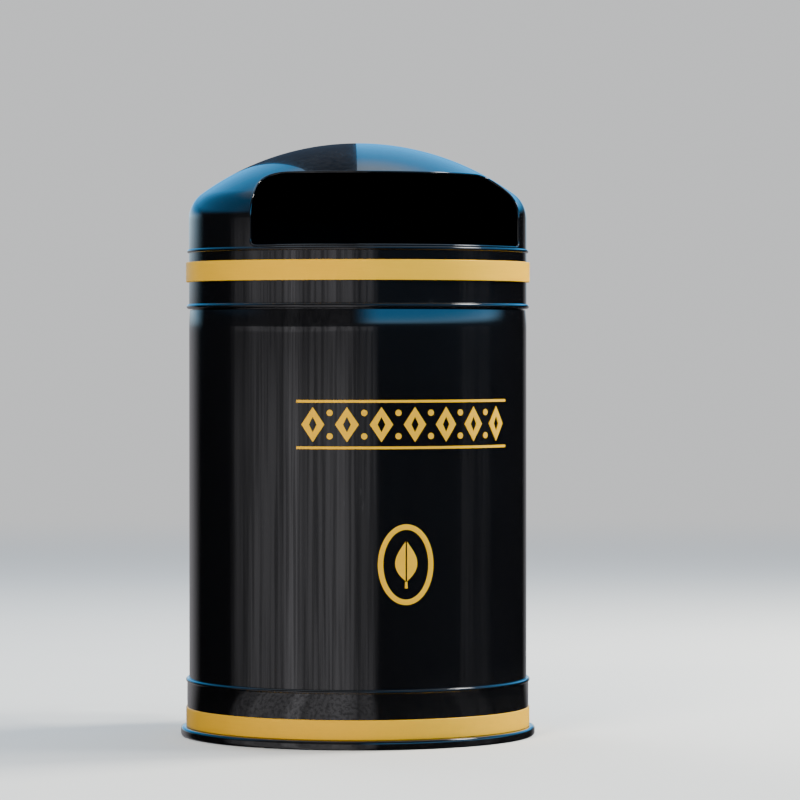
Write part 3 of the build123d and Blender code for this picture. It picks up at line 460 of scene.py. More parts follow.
def nut_tree(material):
    """Four hexagon nuts, each with its washer and the bolt's end, facing the post."""
    t = Tree("nuts", [],
             ["Spacing X", "Spacing Z", "Nut Radius", "Nut Height", "Washer Radius", "Washer Height",
              "Bolt Radius", "Bolt Reach", "Face Y", "Mid Z"])

    def disc(sides, radius, start, depth):
        drum = t.add("GeometryNodeMeshCylinder", {"fill_type": "NGON"}, Vertices=sides, Radius=radius,
                     Depth=depth).outputs[0]
        shift = t.point(Z=t.maths("ADD", start, t.times(depth, 0.5)))
        return t.add("GeometryNodeTransform", Geometry=drum, Translation=shift).outputs[0]

    washer_top = t.given("Washer Height")
    chamfer = t.times(t.given("Nut Height"), 0.12)
    straight = t.maths("SUBTRACT", t.given("Nut Height"), chamfer)
    body_top = t.maths("ADD", washer_top, straight)
    crown = t.add("GeometryNodeMeshCone", {"fill_type": "NGON"}, Vertices=30,
                  Radius_Bottom=t.times(t.given("Nut Radius"), 0.93),
                  Radius_Top=t.times(t.given("Nut Radius"), 0.8), Depth=chamfer).outputs[0]
    crown = t.add("GeometryNodeTransform", Geometry=crown, Translation=t.point(Z=body_top)).outputs[0]
    stack = t.joined(disc(36, t.given("Washer Radius"), 0.0, washer_top),
                     disc(6, t.given("Nut Radius"), washer_top, straight),
                     crown, disc(24, t.given("Bolt Radius"), 0.0, t.given("Bolt Reach")))
    grid = t.add("GeometryNodeMeshGrid", Size_X=t.given("Spacing X"), Size_Y=t.given("Spacing Z"),
                 Vertices_X=2, Vertices_Y=2)
    set_out = t.add("GeometryNodeInstanceOnPoints", Points=grid.outputs[0], Instance=stack).outputs[0]
    place = t.point(Y=t.given("Face Y"), Z=t.given("Mid Z"))
    upright = t.add("GeometryNodeTransform", Geometry=set_out, Translation=place,
                    Rotation=(-pi / 2, 0, 0)).outputs[0]
    t.finish(upright, material)
    return t


# ---- shader effects shared by the materials ---------------------------------------


def effect(name, outputs, **defaults):
    """A shader node group that takes a place and some values, with its two end nodes."""
    group = bpy.data.node_groups.new(name, "ShaderNodeTree")
    group.interface.new_socket("Vector", in_out="INPUT", socket_type="NodeSocketVector")
    for key, value in defaults.items():
        kind = "NodeSocketVector" if isinstance(value, tuple) else "NodeSocketFloat"
        socket = group.interface.new_socket(key.replace("_", " "), in_out="INPUT", socket_type=kind)
        socket.default_value = value
    for label in outputs:
        group.interface.new_socket(label, in_out="OUTPUT", socket_type="NodeSocketFloat")
    return group, group.nodes.new("NodeGroupInput"), group.nodes.new("NodeGroupOutput")


def put(tree, kind, settings=None, **inputs):
    """A shader node with its settings, and its inputs linked or set."""
    made = tree.nodes.new(kind)
    for key, value in (settings or {}).items():
        setattr(made, key, value)
    for key, value in inputs.items():
        wanted = key.replace("_", " ")
        socket = made.inputs[int(key[3:])] if key.startswith("at_") else next(
            s for s in made.inputs if s.name == wanted and s.enabled)
        if isinstance(value, bpy.types.NodeSocket):
            tree.links.new(value, socket)
        else:
            socket.default_value = value
    return made


def calc(tree, operation, first, second=0.0, clamp=False):
    """The output of one maths node in a shader tree."""
    settings = {"operation": operation, "use_clamp": clamp}
    return put(tree, "ShaderNodeMath", settings, at_0=first, at_1=second).outputs[0]


def times(tree, first, second):
    """One value times another."""
    return calc(tree, "MULTIPLY", first, second)


def plus(tree, first, second, clamp=False):
    """One value plus another."""
    return calc(tree, "ADD", first, second, clamp)


def rest(tree, value, clamp=False):
    """What a value leaves of 1."""
    return calc(tree, "SUBTRACT", 1.0, value, clamp)


def between(tree, value, start, end):
    """0 below start, 1 above end, and smooth between them."""
    settings = {"interpolation_type": "SMOOTHSTEP"}
    return put(tree, "ShaderNodeMapRange", settings, Value=value, From_Min=start, From_Max=end).outputs[0]


def shade(colour, factor):
    """A darker or a lighter version of a colour."""
    return tuple(min(part * factor, 1) for part in colour)


def weather_effect():
    """Mottle, dust that gathers low down and on top, and fine scratches."""
    group, entry, leave = effect("weather", ["Mottle", "Dust", "Scratch"], Scale=1.0, Foot_Height=0.0,
                                 Foot_Reach=0.1, Scratch_Amount=0.4)
    scaled = put(group, "ShaderNodeVectorMath", {"operation": "SCALE"}, at_0=entry.outputs["Vector"],
                 Scale=entry.outputs["Scale"]).outputs[0]
    mottle = put(group, "ShaderNodeTexNoise", Vector=scaled, Scale=7.0, Detail=6.0,
                 Roughness=0.6).outputs["Fac"]
    fine = put(group, "ShaderNodeTexNoise", Vector=scaled, Scale=160.0, Detail=5.0,
               Roughness=0.7).outputs["Fac"]
    stretch = put(group, "ShaderNodeMapping", Vector=scaled, Rotation=(0.4, 0.2, 0.7),
                  Scale=(30, 900, 60)).outputs[0]
    lines = put(group, "ShaderNodeTexNoise", Vector=stretch, Scale=1.0, Detail=2.0).outputs["Fac"]
    patch = between(group, mottle, 0.5, 0.72)
    scratch = times(group, between(group, lines, 0.70, 0.78), patch)
    scratch = times(group, scratch, entry.outputs["Scratch Amount"])
    height = put(group, "ShaderNodeSeparateXYZ", Vector=entry.outputs["Vector"]).outputs[2]
    above = calc(group, "SUBTRACT", height, entry.outputs["Foot Height"])
    near_foot = rest(group, calc(group, "DIVIDE", above, entry.outputs["Foot Reach"]), clamp=True)
    normal = put(group, "ShaderNodeNewGeometry").outputs["Normal"]
    upward = between(group, put(group, "ShaderNodeSeparateXYZ", Vector=normal).outputs[2], 0.55, 1.0)
    settled = calc(group, "MAXIMUM", times(group, near_foot, 0.35), times(group, upward, 0.5))
    speckle = plus(group, times(group, fine, 0.9), times(group, mottle, 0.7))
    dust = times(group, between(group, speckle, 0.62, 1.1), settled)
    group.links.new(mottle, leave.inputs["Mottle"])
    group.links.new(dust, leave.inputs["Dust"])
    group.links.new(scratch, leave.inputs["Scratch"])
    return group


def peel_effect():
    """The slight orange peel of sprayed paint, over long soft waves of the sheet under it."""
    group, entry, leave = effect("peel", ["Height"], Peel_Scale=320.0, Wave=0.5)
    peel = put(group, "ShaderNodeTexNoise", Vector=entry.outputs["Vector"], Scale=entry.outputs["Peel Scale"],
               Detail=1.5)
    wave = put(group, "ShaderNodeTexNoise", Vector=entry.outputs["Vector"], Scale=14.0, Detail=1.0)
    total = plus(group, peel.outputs["Fac"], times(group, wave.outputs["Fac"], entry.outputs["Wave"]))
    group.links.new(total, leave.inputs["Height"])
    return group


def spangle_effect():
    """The crystals of hot-dip zinc, each with its own tone."""
    group, entry, leave = effect("spangle", ["Tone", "Height"], Size=90.0)
    warp = put(group, "ShaderNodeTexNoise", Vector=entry.outputs["Vector"], Scale=60.0,
               Detail=2.0).outputs["Color"]
    bent = put(group, "ShaderNodeVectorMath", {"operation": "MULTIPLY_ADD"}, at_0=warp,
               at_1=(0.008, 0.008, 0.008), at_2=entry.outputs["Vector"]).outputs[0]
    cells = put(group, "ShaderNodeTexVoronoi", Vector=bent, Scale=entry.outputs["Size"])
    tone = put(group, "ShaderNodeSeparateColor", Color=cells.outputs["Color"]).outputs[0]
    frost = put(group, "ShaderNodeTexNoise", Vector=entry.outputs["Vector"], Scale=500.0,
                Detail=3.0).outputs["Fac"]
    group.links.new(plus(group, times(group, tone, 0.8), times(group, frost, 0.2)),
                    leave.inputs["Tone"])
    group.links.new(plus(group, tone, frost), leave.inputs["Height"])
    return group


def brush_effect():
    """Fine brushed lines along one direction."""
    group, entry, leave = effect("brush", ["Line"], Stretch=(40, 40, 2500))
    run = put(group, "ShaderNodeVectorMath", {"operation": "MULTIPLY"}, at_0=entry.outputs["Vector"],
              at_1=entry.outputs["Stretch"]).outputs[0]
    line = put(group, "ShaderNodeTexNoise", Vector=run, Scale=1.0, Detail=4.0, Roughness=0.65).outputs["Fac"]
    group.links.new(line, leave.inputs["Line"])
    return group


# ---- materials --------------------------------------------------------------------


class Finish:
    """A material with its Principled BSDF and the object's own coordinates at hand."""

    def __init__(self, name, **plain):
        self.material = bpy.data.materials.new(name)
        self.material.use_nodes = True
        self.tree = self.material.node_tree
        self.shader = self.tree.nodes["Principled BSDF"]
        self.where = self.tree.nodes.new("ShaderNodeTexCoord").outputs["Object"]
        for key, value in plain.items():
            self.shader.inputs[key.replace("_", " ")].default_value = value

    def use(self, group, **inputs):
        """One of the shared effects, fed with the object's coordinates."""
        return put(self.tree, "ShaderNodeGroup", {"node_tree": group}, Vector=self.where, **inputs).outputs

    def mix(self, amount, first, second):
        """A colour between two others."""
        made = self.tree.nodes.new("ShaderNodeMix")
        made.data_type = "RGBA"
        for index, value in ((0, amount), (6, first), (7, second)):
            if isinstance(value, bpy.types.NodeSocket):
                self.tree.links.new(value, made.inputs[index])
            else:
                made.inputs[index].default_value = (*value, 1) if index else value
        return made.outputs[2]

    def drive(self, socket, value):
        """Links a value that varies over the surface to the shader."""
        self.tree.links.new(value, self.shader.inputs[socket])

    def relief(self, height, strength, distance):
        """Bumps the surface by a height."""
        bump = put(self.tree, "ShaderNodeBump", Strength=strength, Distance=distance, Height=height)
        self.drive("Normal", bump.outputs[0])


def gloss_black(name, effects, colour, foot, reach=0.09, wave=0.6):
    """Sprayed black gloss under a clear coat, with dust near the foot and hair scratches."""
    f = Finish(name, Coat_Roughness=0.02, Coat_IOR=1.5, Specular_IOR_Level=0.12)
    marks = f.use(effects["weather"], Foot_Height=foot, Foot_Reach=reach, Scratch_Amount=0.5)
    tone = f.mix(marks["Mottle"], shade(colour, 0.75), shade(colour, 1.35))
    tone = f.mix(times(f.tree, marks["Scratch"], 0.35), tone, (0.09, 0.09, 0.095))
    f.drive("Base Color", f.mix(times(f.tree, marks["Dust"], 0.12), tone, (0.19, 0.17, 0.15)))
    rough = plus(f.tree, times(f.tree, marks["Mottle"], 0.10), 0.10)
    rough = plus(f.tree, rough, times(f.tree, marks["Dust"], 0.25), clamp=True)
    inside = put(f.tree, "ShaderNodeAttribute", {"attribute_name": "inside"}).outputs["Fac"]
    f.drive("Roughness", plus(f.tree, rough, times(f.tree, inside, 0.5), clamp=True))
    f.drive("Coat Weight", rest(f.tree, inside))
    f.relief(f.use(effects["peel"], Wave=wave)["Height"], 0.25, 0.00006)
    return f.material


def satin_gold(name, effects, colour, foot=-1.0):
    """Metallic gold paint, slightly streaked, dulled in patches."""
    f = Finish(name, Coat_Weight=0.06, Coat_Roughness=0.12, Specular_IOR_Level=0.12)
    marks = f.use(effects["weather"], Foot_Height=foot, Foot_Reach=0.05, Scratch_Amount=0.6)
    grain = f.use(effects["brush"], Stretch=(25, 25, 1400))["Line"]
    dark = shade(colour, 0.72)
    light = shade(colour, 1.18)
    patchy = plus(f.tree, times(f.tree, marks["Mottle"], 0.6), times(f.tree, grain, 0.4))
    tone = f.mix(patchy, dark, light)
    tone = f.mix(times(f.tree, marks["Scratch"], 0.5), tone, (0.10, 0.07, 0.03))
    f.drive("Base Color", f.mix(times(f.tree, marks["Dust"], 0.3), tone, (0.24, 0.20, 0.15)))
    f.drive("Metallic", plus(f.tree, 0.20, times(f.tree, marks["Mottle"], 0.15)))
    f.drive("Roughness", plus(f.tree, 0.26, times(f.tree, grain, 0.16)))
    f.relief(f.use(effects["peel"], Wave=0.3)["Height"], 0.3, 0.00005)
    return f.material


def galvanised(name, effects, size=90.0, tone=(0.50, 0.52, 0.54)):
    """Hot-dip zinc with its crystals and dull water marks."""
    f = Finish(name)
    zinc = f.use(effects["spangle"], Size=size)
    marks = f.use(effects["weather"], Foot_Height=0.0, Foot_Reach=0.12, Scratch_Amount=0.7)
    base = f.mix(zinc["Tone"], shade(tone, 0.62), shade(tone, 1.25))
    stain = times(f.tree, between(f.tree, marks["Mottle"], 0.52, 0.75), 0.4)
    base = f.mix(stain, base, (0.30, 0.31, 0.31))
    f.drive("Base Color", f.mix(marks["Dust"], base, (0.17, 0.15, 0.12)))
    f.drive("Metallic", calc(f.tree, "SUBTRACT", 0.95, times(f.tree, marks["Dust"], 0.6)))
    f.drive("Roughness", plus(f.tree, 0.30, times(f.tree, zinc["Tone"], 0.22)))
    f.relief(zinc["Height"], 0.25, 0.00008)
    return f.material


def brushed_metal(name, effects, colour, stretch, rough=0.26):
    """Brushed bare metal with a few hair scratches and finger marks."""
    f = Finish(name)
    line = f.use(effects["brush"], Stretch=stretch)["Line"]
    marks = f.use(effects["weather"], Scale=3.0, Foot_Height=-1.0, Scratch_Amount=0.8)
    base = f.mix(line, shade(colour, 0.7), shade(colour, 1.15))
    f.drive("Base Color", f.mix(times(f.tree, marks["Mottle"], 0.35), base, shade(colour, 0.55)))
    f.drive("Metallic", rest(f.tree, times(f.tree, marks["Scratch"], 0.2)))
    f.drive("Roughness", plus(f.tree, rough, times(f.tree, line, 0.22)))
    f.relief(line, 0.3, 0.00004)
    return f.material


def satin_black(name, effects, colour, rough):
    """Textured powder coat, or moulded rubber with a matt skin."""
    f = Finish(name)
    marks = f.use(effects["weather"], Scale=2.0, Foot_Height=0.0, Foot_Reach=0.1, Scratch_Amount=0.6)
    base = f.mix(marks["Mottle"], shade(colour, 0.7), shade(colour, 1.4))
    base = f.mix(times(f.tree, marks["Scratch"], 0.5), base, (0.16, 0.16, 0.16))
    f.drive("Base Color", f.mix(times(f.tree, marks["Dust"], 0.4), base, (0.2, 0.18, 0.16)))
    f.drive("Roughness", plus(f.tree, rough, times(f.tree, marks["Mottle"], 0.2)))
    f.relief(f.use(effects["peel"], Peel_Scale=900.0, Wave=0.0)["Height"], 0.5, 0.0001)
    return f.material


FINISHES = {}


# ---- what a user can change -------------------------------------------------------


def colour_choice(name, description, default):
    """A colour that a user can change."""
    return bpy.props.FloatVectorProperty(name=name, description=description, default=default,
                                         subtype="COLOR", min=0, max=1)


def length_choice(name, description, default, least, most):
    """A length that a user can change, given in millimetres."""
    return bpy.props.FloatProperty(name=name, description=description, default=default * MM,
                                   unit="LENGTH", min=least * MM, max=most * MM)


class LitterBinColours(bpy.types.PropertyGroup):
    """Colours of the bin's finishes."""

    body: colour_choice("Body", "Gloss paint of the casing and the hood", (0.0022, 0.0022, 0.0027))
    gold: colour_choice("Gold", "Paint of the bands, the frieze and the emblem", (1.0, 0.47, 0.012))
    steel: colour_choice("Stainless steel", "Bands, nuts and rivets", (0.62, 0.61, 0.59))
    brass: colour_choice("Brass", "The lock", (0.72, 0.52, 0.24))
    floor: colour_choice("Floor", "The plain floor under the bin", (0.62, 0.62, 0.60))


class LitterBinSizes(bpy.types.PropertyGroup):
    """Sizes of the bin's details."""

    lozenges: bpy.props.IntProperty(name="Lozenges", description="Number of lozenges in the frieze",
                                    default=7, min=2, max=12)
    lozenge_width: length_choice("Lozenge width", "Width of one lozenge", 27, 10, 40)
    lozenge_height: length_choice("Lozenge height", "Height of one lozenge", 40, 20, 46)
    relief: length_choice("Relief", "How far the ornament stands out of the body", 0.9, 0.2, 2)
    edging: length_choice("Edging", "Width of the rolled edge around the aperture", 2.6, 1.5, 5)
    waviness: length_choice("Waviness", "How far the rolled sheet strays from a true tube", 0.10, 0, 0.5)


# ---- the pieces -------------------------------------------------------------------


class BinOperator:
    """What the operators of this panel share."""

    bl_options = {"REGISTER", "UNDO"}

    def execute(self, context):
        self.build(context.scene.litter_bin_sizes, context.scene.litter_bin_colours)
        return {"FINISHED"}


class LITTERBIN_OT_finishes(BinOperator, bpy.types.Operator):
    """Makes every material of the bin"""

    bl_idname = "litterbin.finishes"
    bl_label = "Finishes"

    def build(self, sizes, colours):
        shared = {"weather": weather_effect(), "peel": peel_effect(), "spangle": spangle_effect(),
                  "brush": brush_effect()}
        black, gold, steel = tuple(colours.body), tuple(colours.gold), tuple(colours.steel)
        FINISHES.update(
            black=gloss_black("black_gloss", shared, black, foot=0.0),
            black_hood=gloss_black("black_gloss_hood", shared, black, foot=HOOD_LOW - 0.02, reach=0.03),
            gold=satin_gold("satin_gold", shared, gold),
            gold_foot=satin_gold("satin_gold_foot", shared, gold, foot=0.01),
            zinc=galvanised("galvanised_steel", shared),
            zinc_small=galvanised("galvanised_small", shared, size=220.0),
            steel=brushed_metal("stainless_steel", shared, steel, (400, 400, 2200)),
            band=brushed_metal("stainless_band", shared, steel, (30, 30, 2600)),
            brass=brushed_metal("lock_brass", shared, tuple(colours.brass), (900, 900, 900), rough=0.3),
            rubber=satin_black("black_rubber", shared, (0.022, 0.022, 0.022), 0.65),
            coat=satin_black("black_powder_coat", shared, (0.016, 0.016, 0.018), 0.34),
        )


class LITTERBIN_OT_metalwork(BinOperator, bpy.types.Operator):
    """Gives the pieces that keep their own shape their finishes"""

    bl_idname = "litterbin.metalwork"
    bl_label = "Metalwork"

    def build(self, sizes, colours):
        finish_of = {"black_gloss_paint": "black", "gold_paint": "gold", "galvanised_steel": "zinc",
                     "stainless_steel": "steel", "black_rubber": "rubber", "lock_brass": "brass",
                     "black_satin_steel": "coat"}
        by_node = {"lock_cam": "zinc_small", "lock_keeper": "zinc_small", "handle_ears": "zinc_small",
                   "hinge_hood_leaf": "black_hood"}
        for part in frame["record"]["subparts"]:
            finish = FINISHES[by_node.get(part["node"], finish_of[part["material_slot"]])]
            node = NODES[part["node"]]
            node.data.materials.clear()
            node.data.materials.append(finish)


class LITTERBIN_OT_body(BinOperator, bpy.types.Operator):
    """Rolls the body tube"""

    bl_idname = "litterbin.body"
    bl_label = "Body"

    def build(self, sizes, colours):
        def wave(turn, height):
            """A few hundredths of a millimetre of sheet waviness, none at the two ends."""
            ease = min(height / 0.08, (BODY_TOP - height) / 0.05, 1)
            spot = Vector((2.2 * sin(turn), 2.2 * cos(turn), height * 3.1))
            return sizes.waviness * noise.noise(spot) * max(ease, 0)

        lean_from = BODY_TOP - 21 * MM
        rows = [lean_from * step / 70 for step in range(1, 70)]
        lean = [(BODY_R - 1.15 * MM * (step / 8) ** 1.6, lean_from + 20.6 * MM * step / 8)
                for step in range(9)]
        outside = [(BODY_R, 0), *[(BODY_R, z) for z in rows], *lean]
        inside = [(BODY_R - SHEET, BODY_TOP), (BODY_R - SHEET, 0)]
        new_piece("body_tube", lathe_mesh(outside + inside, wave=wave), "casing",
                  FINISHES["black"], ["body_shell"])


class LITTERBIN_OT_foot(BinOperator, bpy.types.Operator):
    """Turns the flange, the gold band and the beaded sleeve at the foot"""

    bl_idname = "litterbin.foot"
    bl_label = "Foot"

    def build(self, sizes, colours):
        flange_top, band_top = high("base_ring"), high("base_band")
        corners = [(FLANGE_R, 0), (FLANGE_R, flange_top), (BODY_R, flange_top), (BODY_R, 0)]
        new_piece("foot_flange", lathe_mesh(soften(corners, 4 * MM, 7)), "casing",
                  FINISHES["black"], ["base_ring"])
        new_piece("foot_band", lathe_mesh(band_outline(flange_top, band_top)), "casing",
                  FINISHES["gold_foot"], ["base_band"])
        sleeve_r, bead, bead_z = BODY_R + 2.4 * MM, 2.2 * MM, high("base_sleeve") - 2.2 * MM
        outline = [(BODY_R, band_top), (sleeve_r, band_top), (sleeve_r, bead_z - bead * 1.1)]
        for step in range(17):
            turn = radians(-62 + 242 * step / 16)
            outline.append((sleeve_r - 0.6 * MM + bead * cos(turn), bead_z + bead * sin(turn)))
        outline.append((BODY_R, bead_z))
        new_piece("foot_sleeve", lathe_mesh(outline), "casing", FINISHES["black"],
                  ["base_sleeve"], sharp=50)


class LITTERBIN_OT_hood(BinOperator, bpy.types.Operator):
    """Spins the dome, cuts its aperture, and adds its band, bead, hem and edging"""

    bl_idname = "litterbin.hood"
    bl_label = "Hood"

    def build(self, sizes, colours):
        slot, black = "black_gloss_paint", FINISHES["black_hood"]
        seam = low("hood_dome")
        corners = [(BODY_R, HOOD_LOW), (BODY_R, seam), (BODY_R - SHEET, seam), (BODY_R - SHEET, HOOD_LOW)]
        skirt = lathe_mesh(soften(corners, 0.3 * MM, 3))
        shade_inside(new_piece("skirt_sheet", skirt, "hood", black, ["hood_skirt"]).data)
        self.dome(seam)
        self.edging(sizes.edging)
        band = lathe_mesh(band_outline(low("hood_band"), high("hood_band")))
        new_piece("gold_hoop", band, "hood", FINISHES["gold"], ["hood_band"])
        bead_z = (low("hood_bead") + high("hood_bead")) / 2
        bead = lathe_mesh(self.half_round(BODY_R, bead_z, 2.3 * MM))
        new_piece("aperture_bead", bead, "hood", black, ["hood_bead"])
        self.hem(slot, black)

    def half_round(self, radius, height, size):
        """A half-round outline that stands out of a tube."""
        turns = [radians(-90 + 180 * step / 14) for step in range(15)]
        return [(radius + size * cos(turn), height + size * sin(turn)) for turn in turns]

    def hem(self, slot, black):
        """The rolled hem, open where the hinge is."""
        hem_low, hem_high = low("hood_hem"), high("hood_hem")
        size = (hem_high - hem_low) / 2
        section = self.half_round(BODY_R, hem_low + size, size)
        gap = asin((HINGE_HALF + 4 * MM) / BODY_R)
        start, sweep, steps = HINGE_TURN + gap, 2 * (pi - gap), 260
        verts = []
        for step in range(steps + 1):
            turn = start + sweep * step / steps
            verts += [(r * sin(turn), -r * cos(turn), z) for r, z in section]
        roll = verts, skin(steps + 1, len(section))
        new_piece("rolled_hem", roll, "hood", black, ["hood_hem"], sharp=50)

    def dome(self, seam):
        """The spun shell, with the aperture cut from front to axis."""
        outline = dome_line(0, seam) + list(reversed(dome_line(SHEET, seam)))
        dome = scratch_object("dome_uncut", *lathe_mesh(outline, 360))
        line = aperture_line()
        near, far = -20 * MM, -260 * MM
        prism = [(p.x, y, p.y) for y in (near, far) for p in line]
        cutter = scratch_object("aperture_cutter", prism, skin(2, len(line)))
        modifier = dome.modifiers.new("aperture", "BOOLEAN")
        modifier.operation, modifier.object, modifier.solver = "DIFFERENCE", cutter, "EXACT"
        mesh = evaluated_mesh(dome)
        mesh.name = "dome_sheet"
        for thing in (dome, cutter):
            bpy.data.objects.remove(thing)
        piece = finish_mesh("dome_sheet", mesh, "hood", FINISHES["black_hood"],
                            ["hood_dome"], sharp=40, recalc=False)
        shade_inside(piece.data)

    def edging(self, width):
        """The rolled edge, a rounded bar that follows the cut over the dome."""
        line = aperture_line(gap=3 * MM)
        count, section = len(line), 12
        spots = []
        for point in line:
            reach, lean = dome_reach(point.y)
            depth = sqrt(max(reach ** 2 - point.x ** 2, 0))
            spoke = Vector((point.x, -depth, 0)).normalized()
            normal = (spoke * lean[0] + Vector((0, 0, lean[1]))).normalized()
            spots.append((Vector((point.x, -depth, point.y)), normal))
        verts = []
        for index, (spot, normal) in enumerate(spots):
            along = (spots[(index + 1) % count][0] - spots[index - 1][0]).normalized()
            inward = normal.cross(along).normalized()
            for turn in full_turn(section):
                across = width * (0.5 + 0.5 * cos(turn)) - 0.5 * MM
                out = -0.75 * MM + 1.5 * MM * sin(turn)
                verts.append(spot + inward * across + normal * out)
        bar = verts, skin(count, section, closed=True)
        new_piece("aperture_edging", bar, "hood", FINISHES["black_hood"],
                  ["aperture_trim"], sharp=60)


def wrapped_plate(name, loops, thickness, height, node):
    """A flat plate with these outlines, cut fine and laid on the front of the body."""
    flat = bpy.data.curves.new(name, "CURVE")
    flat.dimensions, flat.fill_mode = "2D", "BOTH"
    flat.extrude, flat.bevel_depth, flat.bevel_resolution = thickness / 2 - 0.12 * MM, 0.12 * MM, 1
    for loop in loops:
        spline = flat.splines.new("POLY")
        spline.points.add(len(loop) - 1)
        for point, (x, z) in zip(spline.points, loop):
            point.co = (x, z, 0, 1)
        spline.use_cyclic_u = True
    holder = bpy.data.objects.new(name + "_flat", flat)
    bpy.context.scene.collection.objects.link(holder)
    mesh = evaluated_mesh(holder)
    bpy.data.objects.remove(holder)
    mesh.name = name
    work = bmesh.new()
    work.from_mesh(mesh)
    bmesh.ops.remove_doubles(work, verts=work.verts, dist=1e-6)
    for _ in range(4):
        wide = [e for e in work.edges if e.calc_length() > 4 * MM]
        if not wide:
            break
        bmesh.ops.subdivide_edges(work, edges=wide, cuts=1)
        bmesh.ops.triangulate(work, faces=[f for f in work.faces if len(f.verts) > 3])
    for vert in work.verts:
        x, z, out = vert.co
        vert.co = on_body(x, height + z, out + thickness / 2)
    work.to_mesh(mesh)
    work.free()
    finish_mesh(name, mesh, "casing", FINISHES["gold"], [node])


class LITTERBIN_OT_ornament(BinOperator, bpy.types.Operator):
    """Lays the gold frieze and the oval leaf emblem on the front"""

    bl_idname = "litterbin.ornament"
    bl_label = "Ornament"

    def build(self, sizes, colours):
        frieze_low, frieze_high = low("front_frieze"), high("front_frieze")
        box_low, box_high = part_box("front_frieze")
        left, right = (asin(side.x / (BODY_R + sizes.relief)) for side in (box_low, box_high))
        values = {"Count": sizes.lozenges, "Pitch": (right - left) * BODY_R / sizes.lozenges,
                  "Lozenge Width": sizes.lozenge_width, "Lozenge Height": sizes.lozenge_height, "Eye": 9 * MM,
                  "Dot Radius": 3.6 * MM, "Rule Height": 3 * MM, "Frieze Height": frieze_high - frieze_low,
                  "Thickness": sizes.relief, "Radius": BODY_R, "Azimuth": (left + right) / 2,
                  "Height": (frieze_low + frieze_high) / 2}
        grow("gold_frieze", frieze_tree(FINISHES["gold"]), values, "casing", FINISHES["gold"],
             ["front_frieze"])
        emblem_z = (low("emblem_ring") + high("emblem_ring")) / 2
        wide, tall, stroke = 33 * MM, 46 * MM, 6 * MM
        rings = [[((wide - inset) * cos(turn), (tall - inset) * sin(turn)) for turn in full_turn(96)]
                 for inset in (0, stroke)]
        wrapped_plate("emblem_oval", rings, sizes.relief, emblem_z, "emblem_ring")
        wrapped_plate("emblem_blade", self.leaf(), sizes.relief, emblem_z, "emblem_leaf")

    def leaf(self):
        """A leaf in two halves parted by a vein down its middle, on a stalk."""
        foot, tip, bulge, vein = -19 * MM, 27 * MM, 13 * MM, 1.1 * MM
        loops = []
        for side in (-1, 1):
            outer = []
            for step in range(25):
                t = step / 24
                outer.append((side * max(bulge * sin(pi * t ** 0.85), vein), foot + (tip - foot) * t))
            loops.append([(side * vein, foot + 0.5 * MM)] + outer[1:-1] + [(side * vein, tip - 1.2 * MM)])
        stalk_foot, stalk_top = foot - 8 * MM, foot - 0.6 * MM
        wide, slim = 1.6 * MM, 1.1 * MM
        return loops + [[(-wide, stalk_foot), (wide, stalk_foot), (slim, stalk_top), (-slim, stalk_top)]]


class LITTERBIN_OT_liner(BinOperator, bpy.types.Operator):
    """Presses the liner, wires its edge, and bends its two drop handles"""

    bl_idname = "litterbin.liner"
    bl_label = "Liner"

    def build(self, sizes, colours):
        foot, top = low("liner_bucket"), high("liner_bucket")
        swages = [150 * MM, 330 * MM]
        outer = [(0, foot), (LINER_R, foot)]
        for height in swages:
            outer += [(LINER_R, height - 8 * MM), (LINER_R + 2 * MM, height - 4 * MM),
                      (LINER_R + 2 * MM, height + 4 * MM), (LINER_R, height + 8 * MM)]
        outer.append((LINER_R, top))
        wall = 1.2 * MM
        path = soften(outer, 3 * MM, 4, closed=False)
        inner = [(max(p.x - wall, 0), max(p.y, foot + wall)) for p in path[1:]]
        inner = [p for index, p in enumerate(inner)
                 if index == 0 or (Vector(p) - Vector(inner[index - 1])).length > 1e-5]
        outline = [tuple(p) for p in path] + list(reversed(inner)) + [(0, foot + wall)]
        new_piece("liner_pail", lathe_mesh(outline, 192), "liner", FINISHES["zinc"],
                  ["liner_bucket"], sharp=50)
        rim_z = (low("liner_rim") + high("liner_rim")) / 2
        size = (high("liner_rim") - low("liner_rim")) / 2
        wire = [(LINER_R + size * cos(turn), rim_z + size * sin(turn)) for turn in full_turn(18)]
        new_piece("liner_wired_edge", lathe_mesh(wire, 192), "liner", FINISHES["zinc"],
                  ["liner_rim"])
        for node in ("handle_left", "handle_right"):
            box_low, box_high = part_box(node)
            radius = (box_high.x - box_low.x) / 2
            x, z, end = (box_low.x + box_high.x) / 2, box_high.z - radius, box_high.y
            leg, drop = 47 * MM, box_low.z + radius
            corners = [(x, -end, z), (x, -leg, z), (x, -leg, drop), (x, leg, drop), (x, leg, z), (x, end, z)]
            path = soften(corners, 7 * MM, 8, closed=False)
            rod = tube_mesh(path, radius, Vector((1, 0, 0)), 20)
            new_piece(node + "_rod", rod, node, FINISHES["zinc_small"], [node])


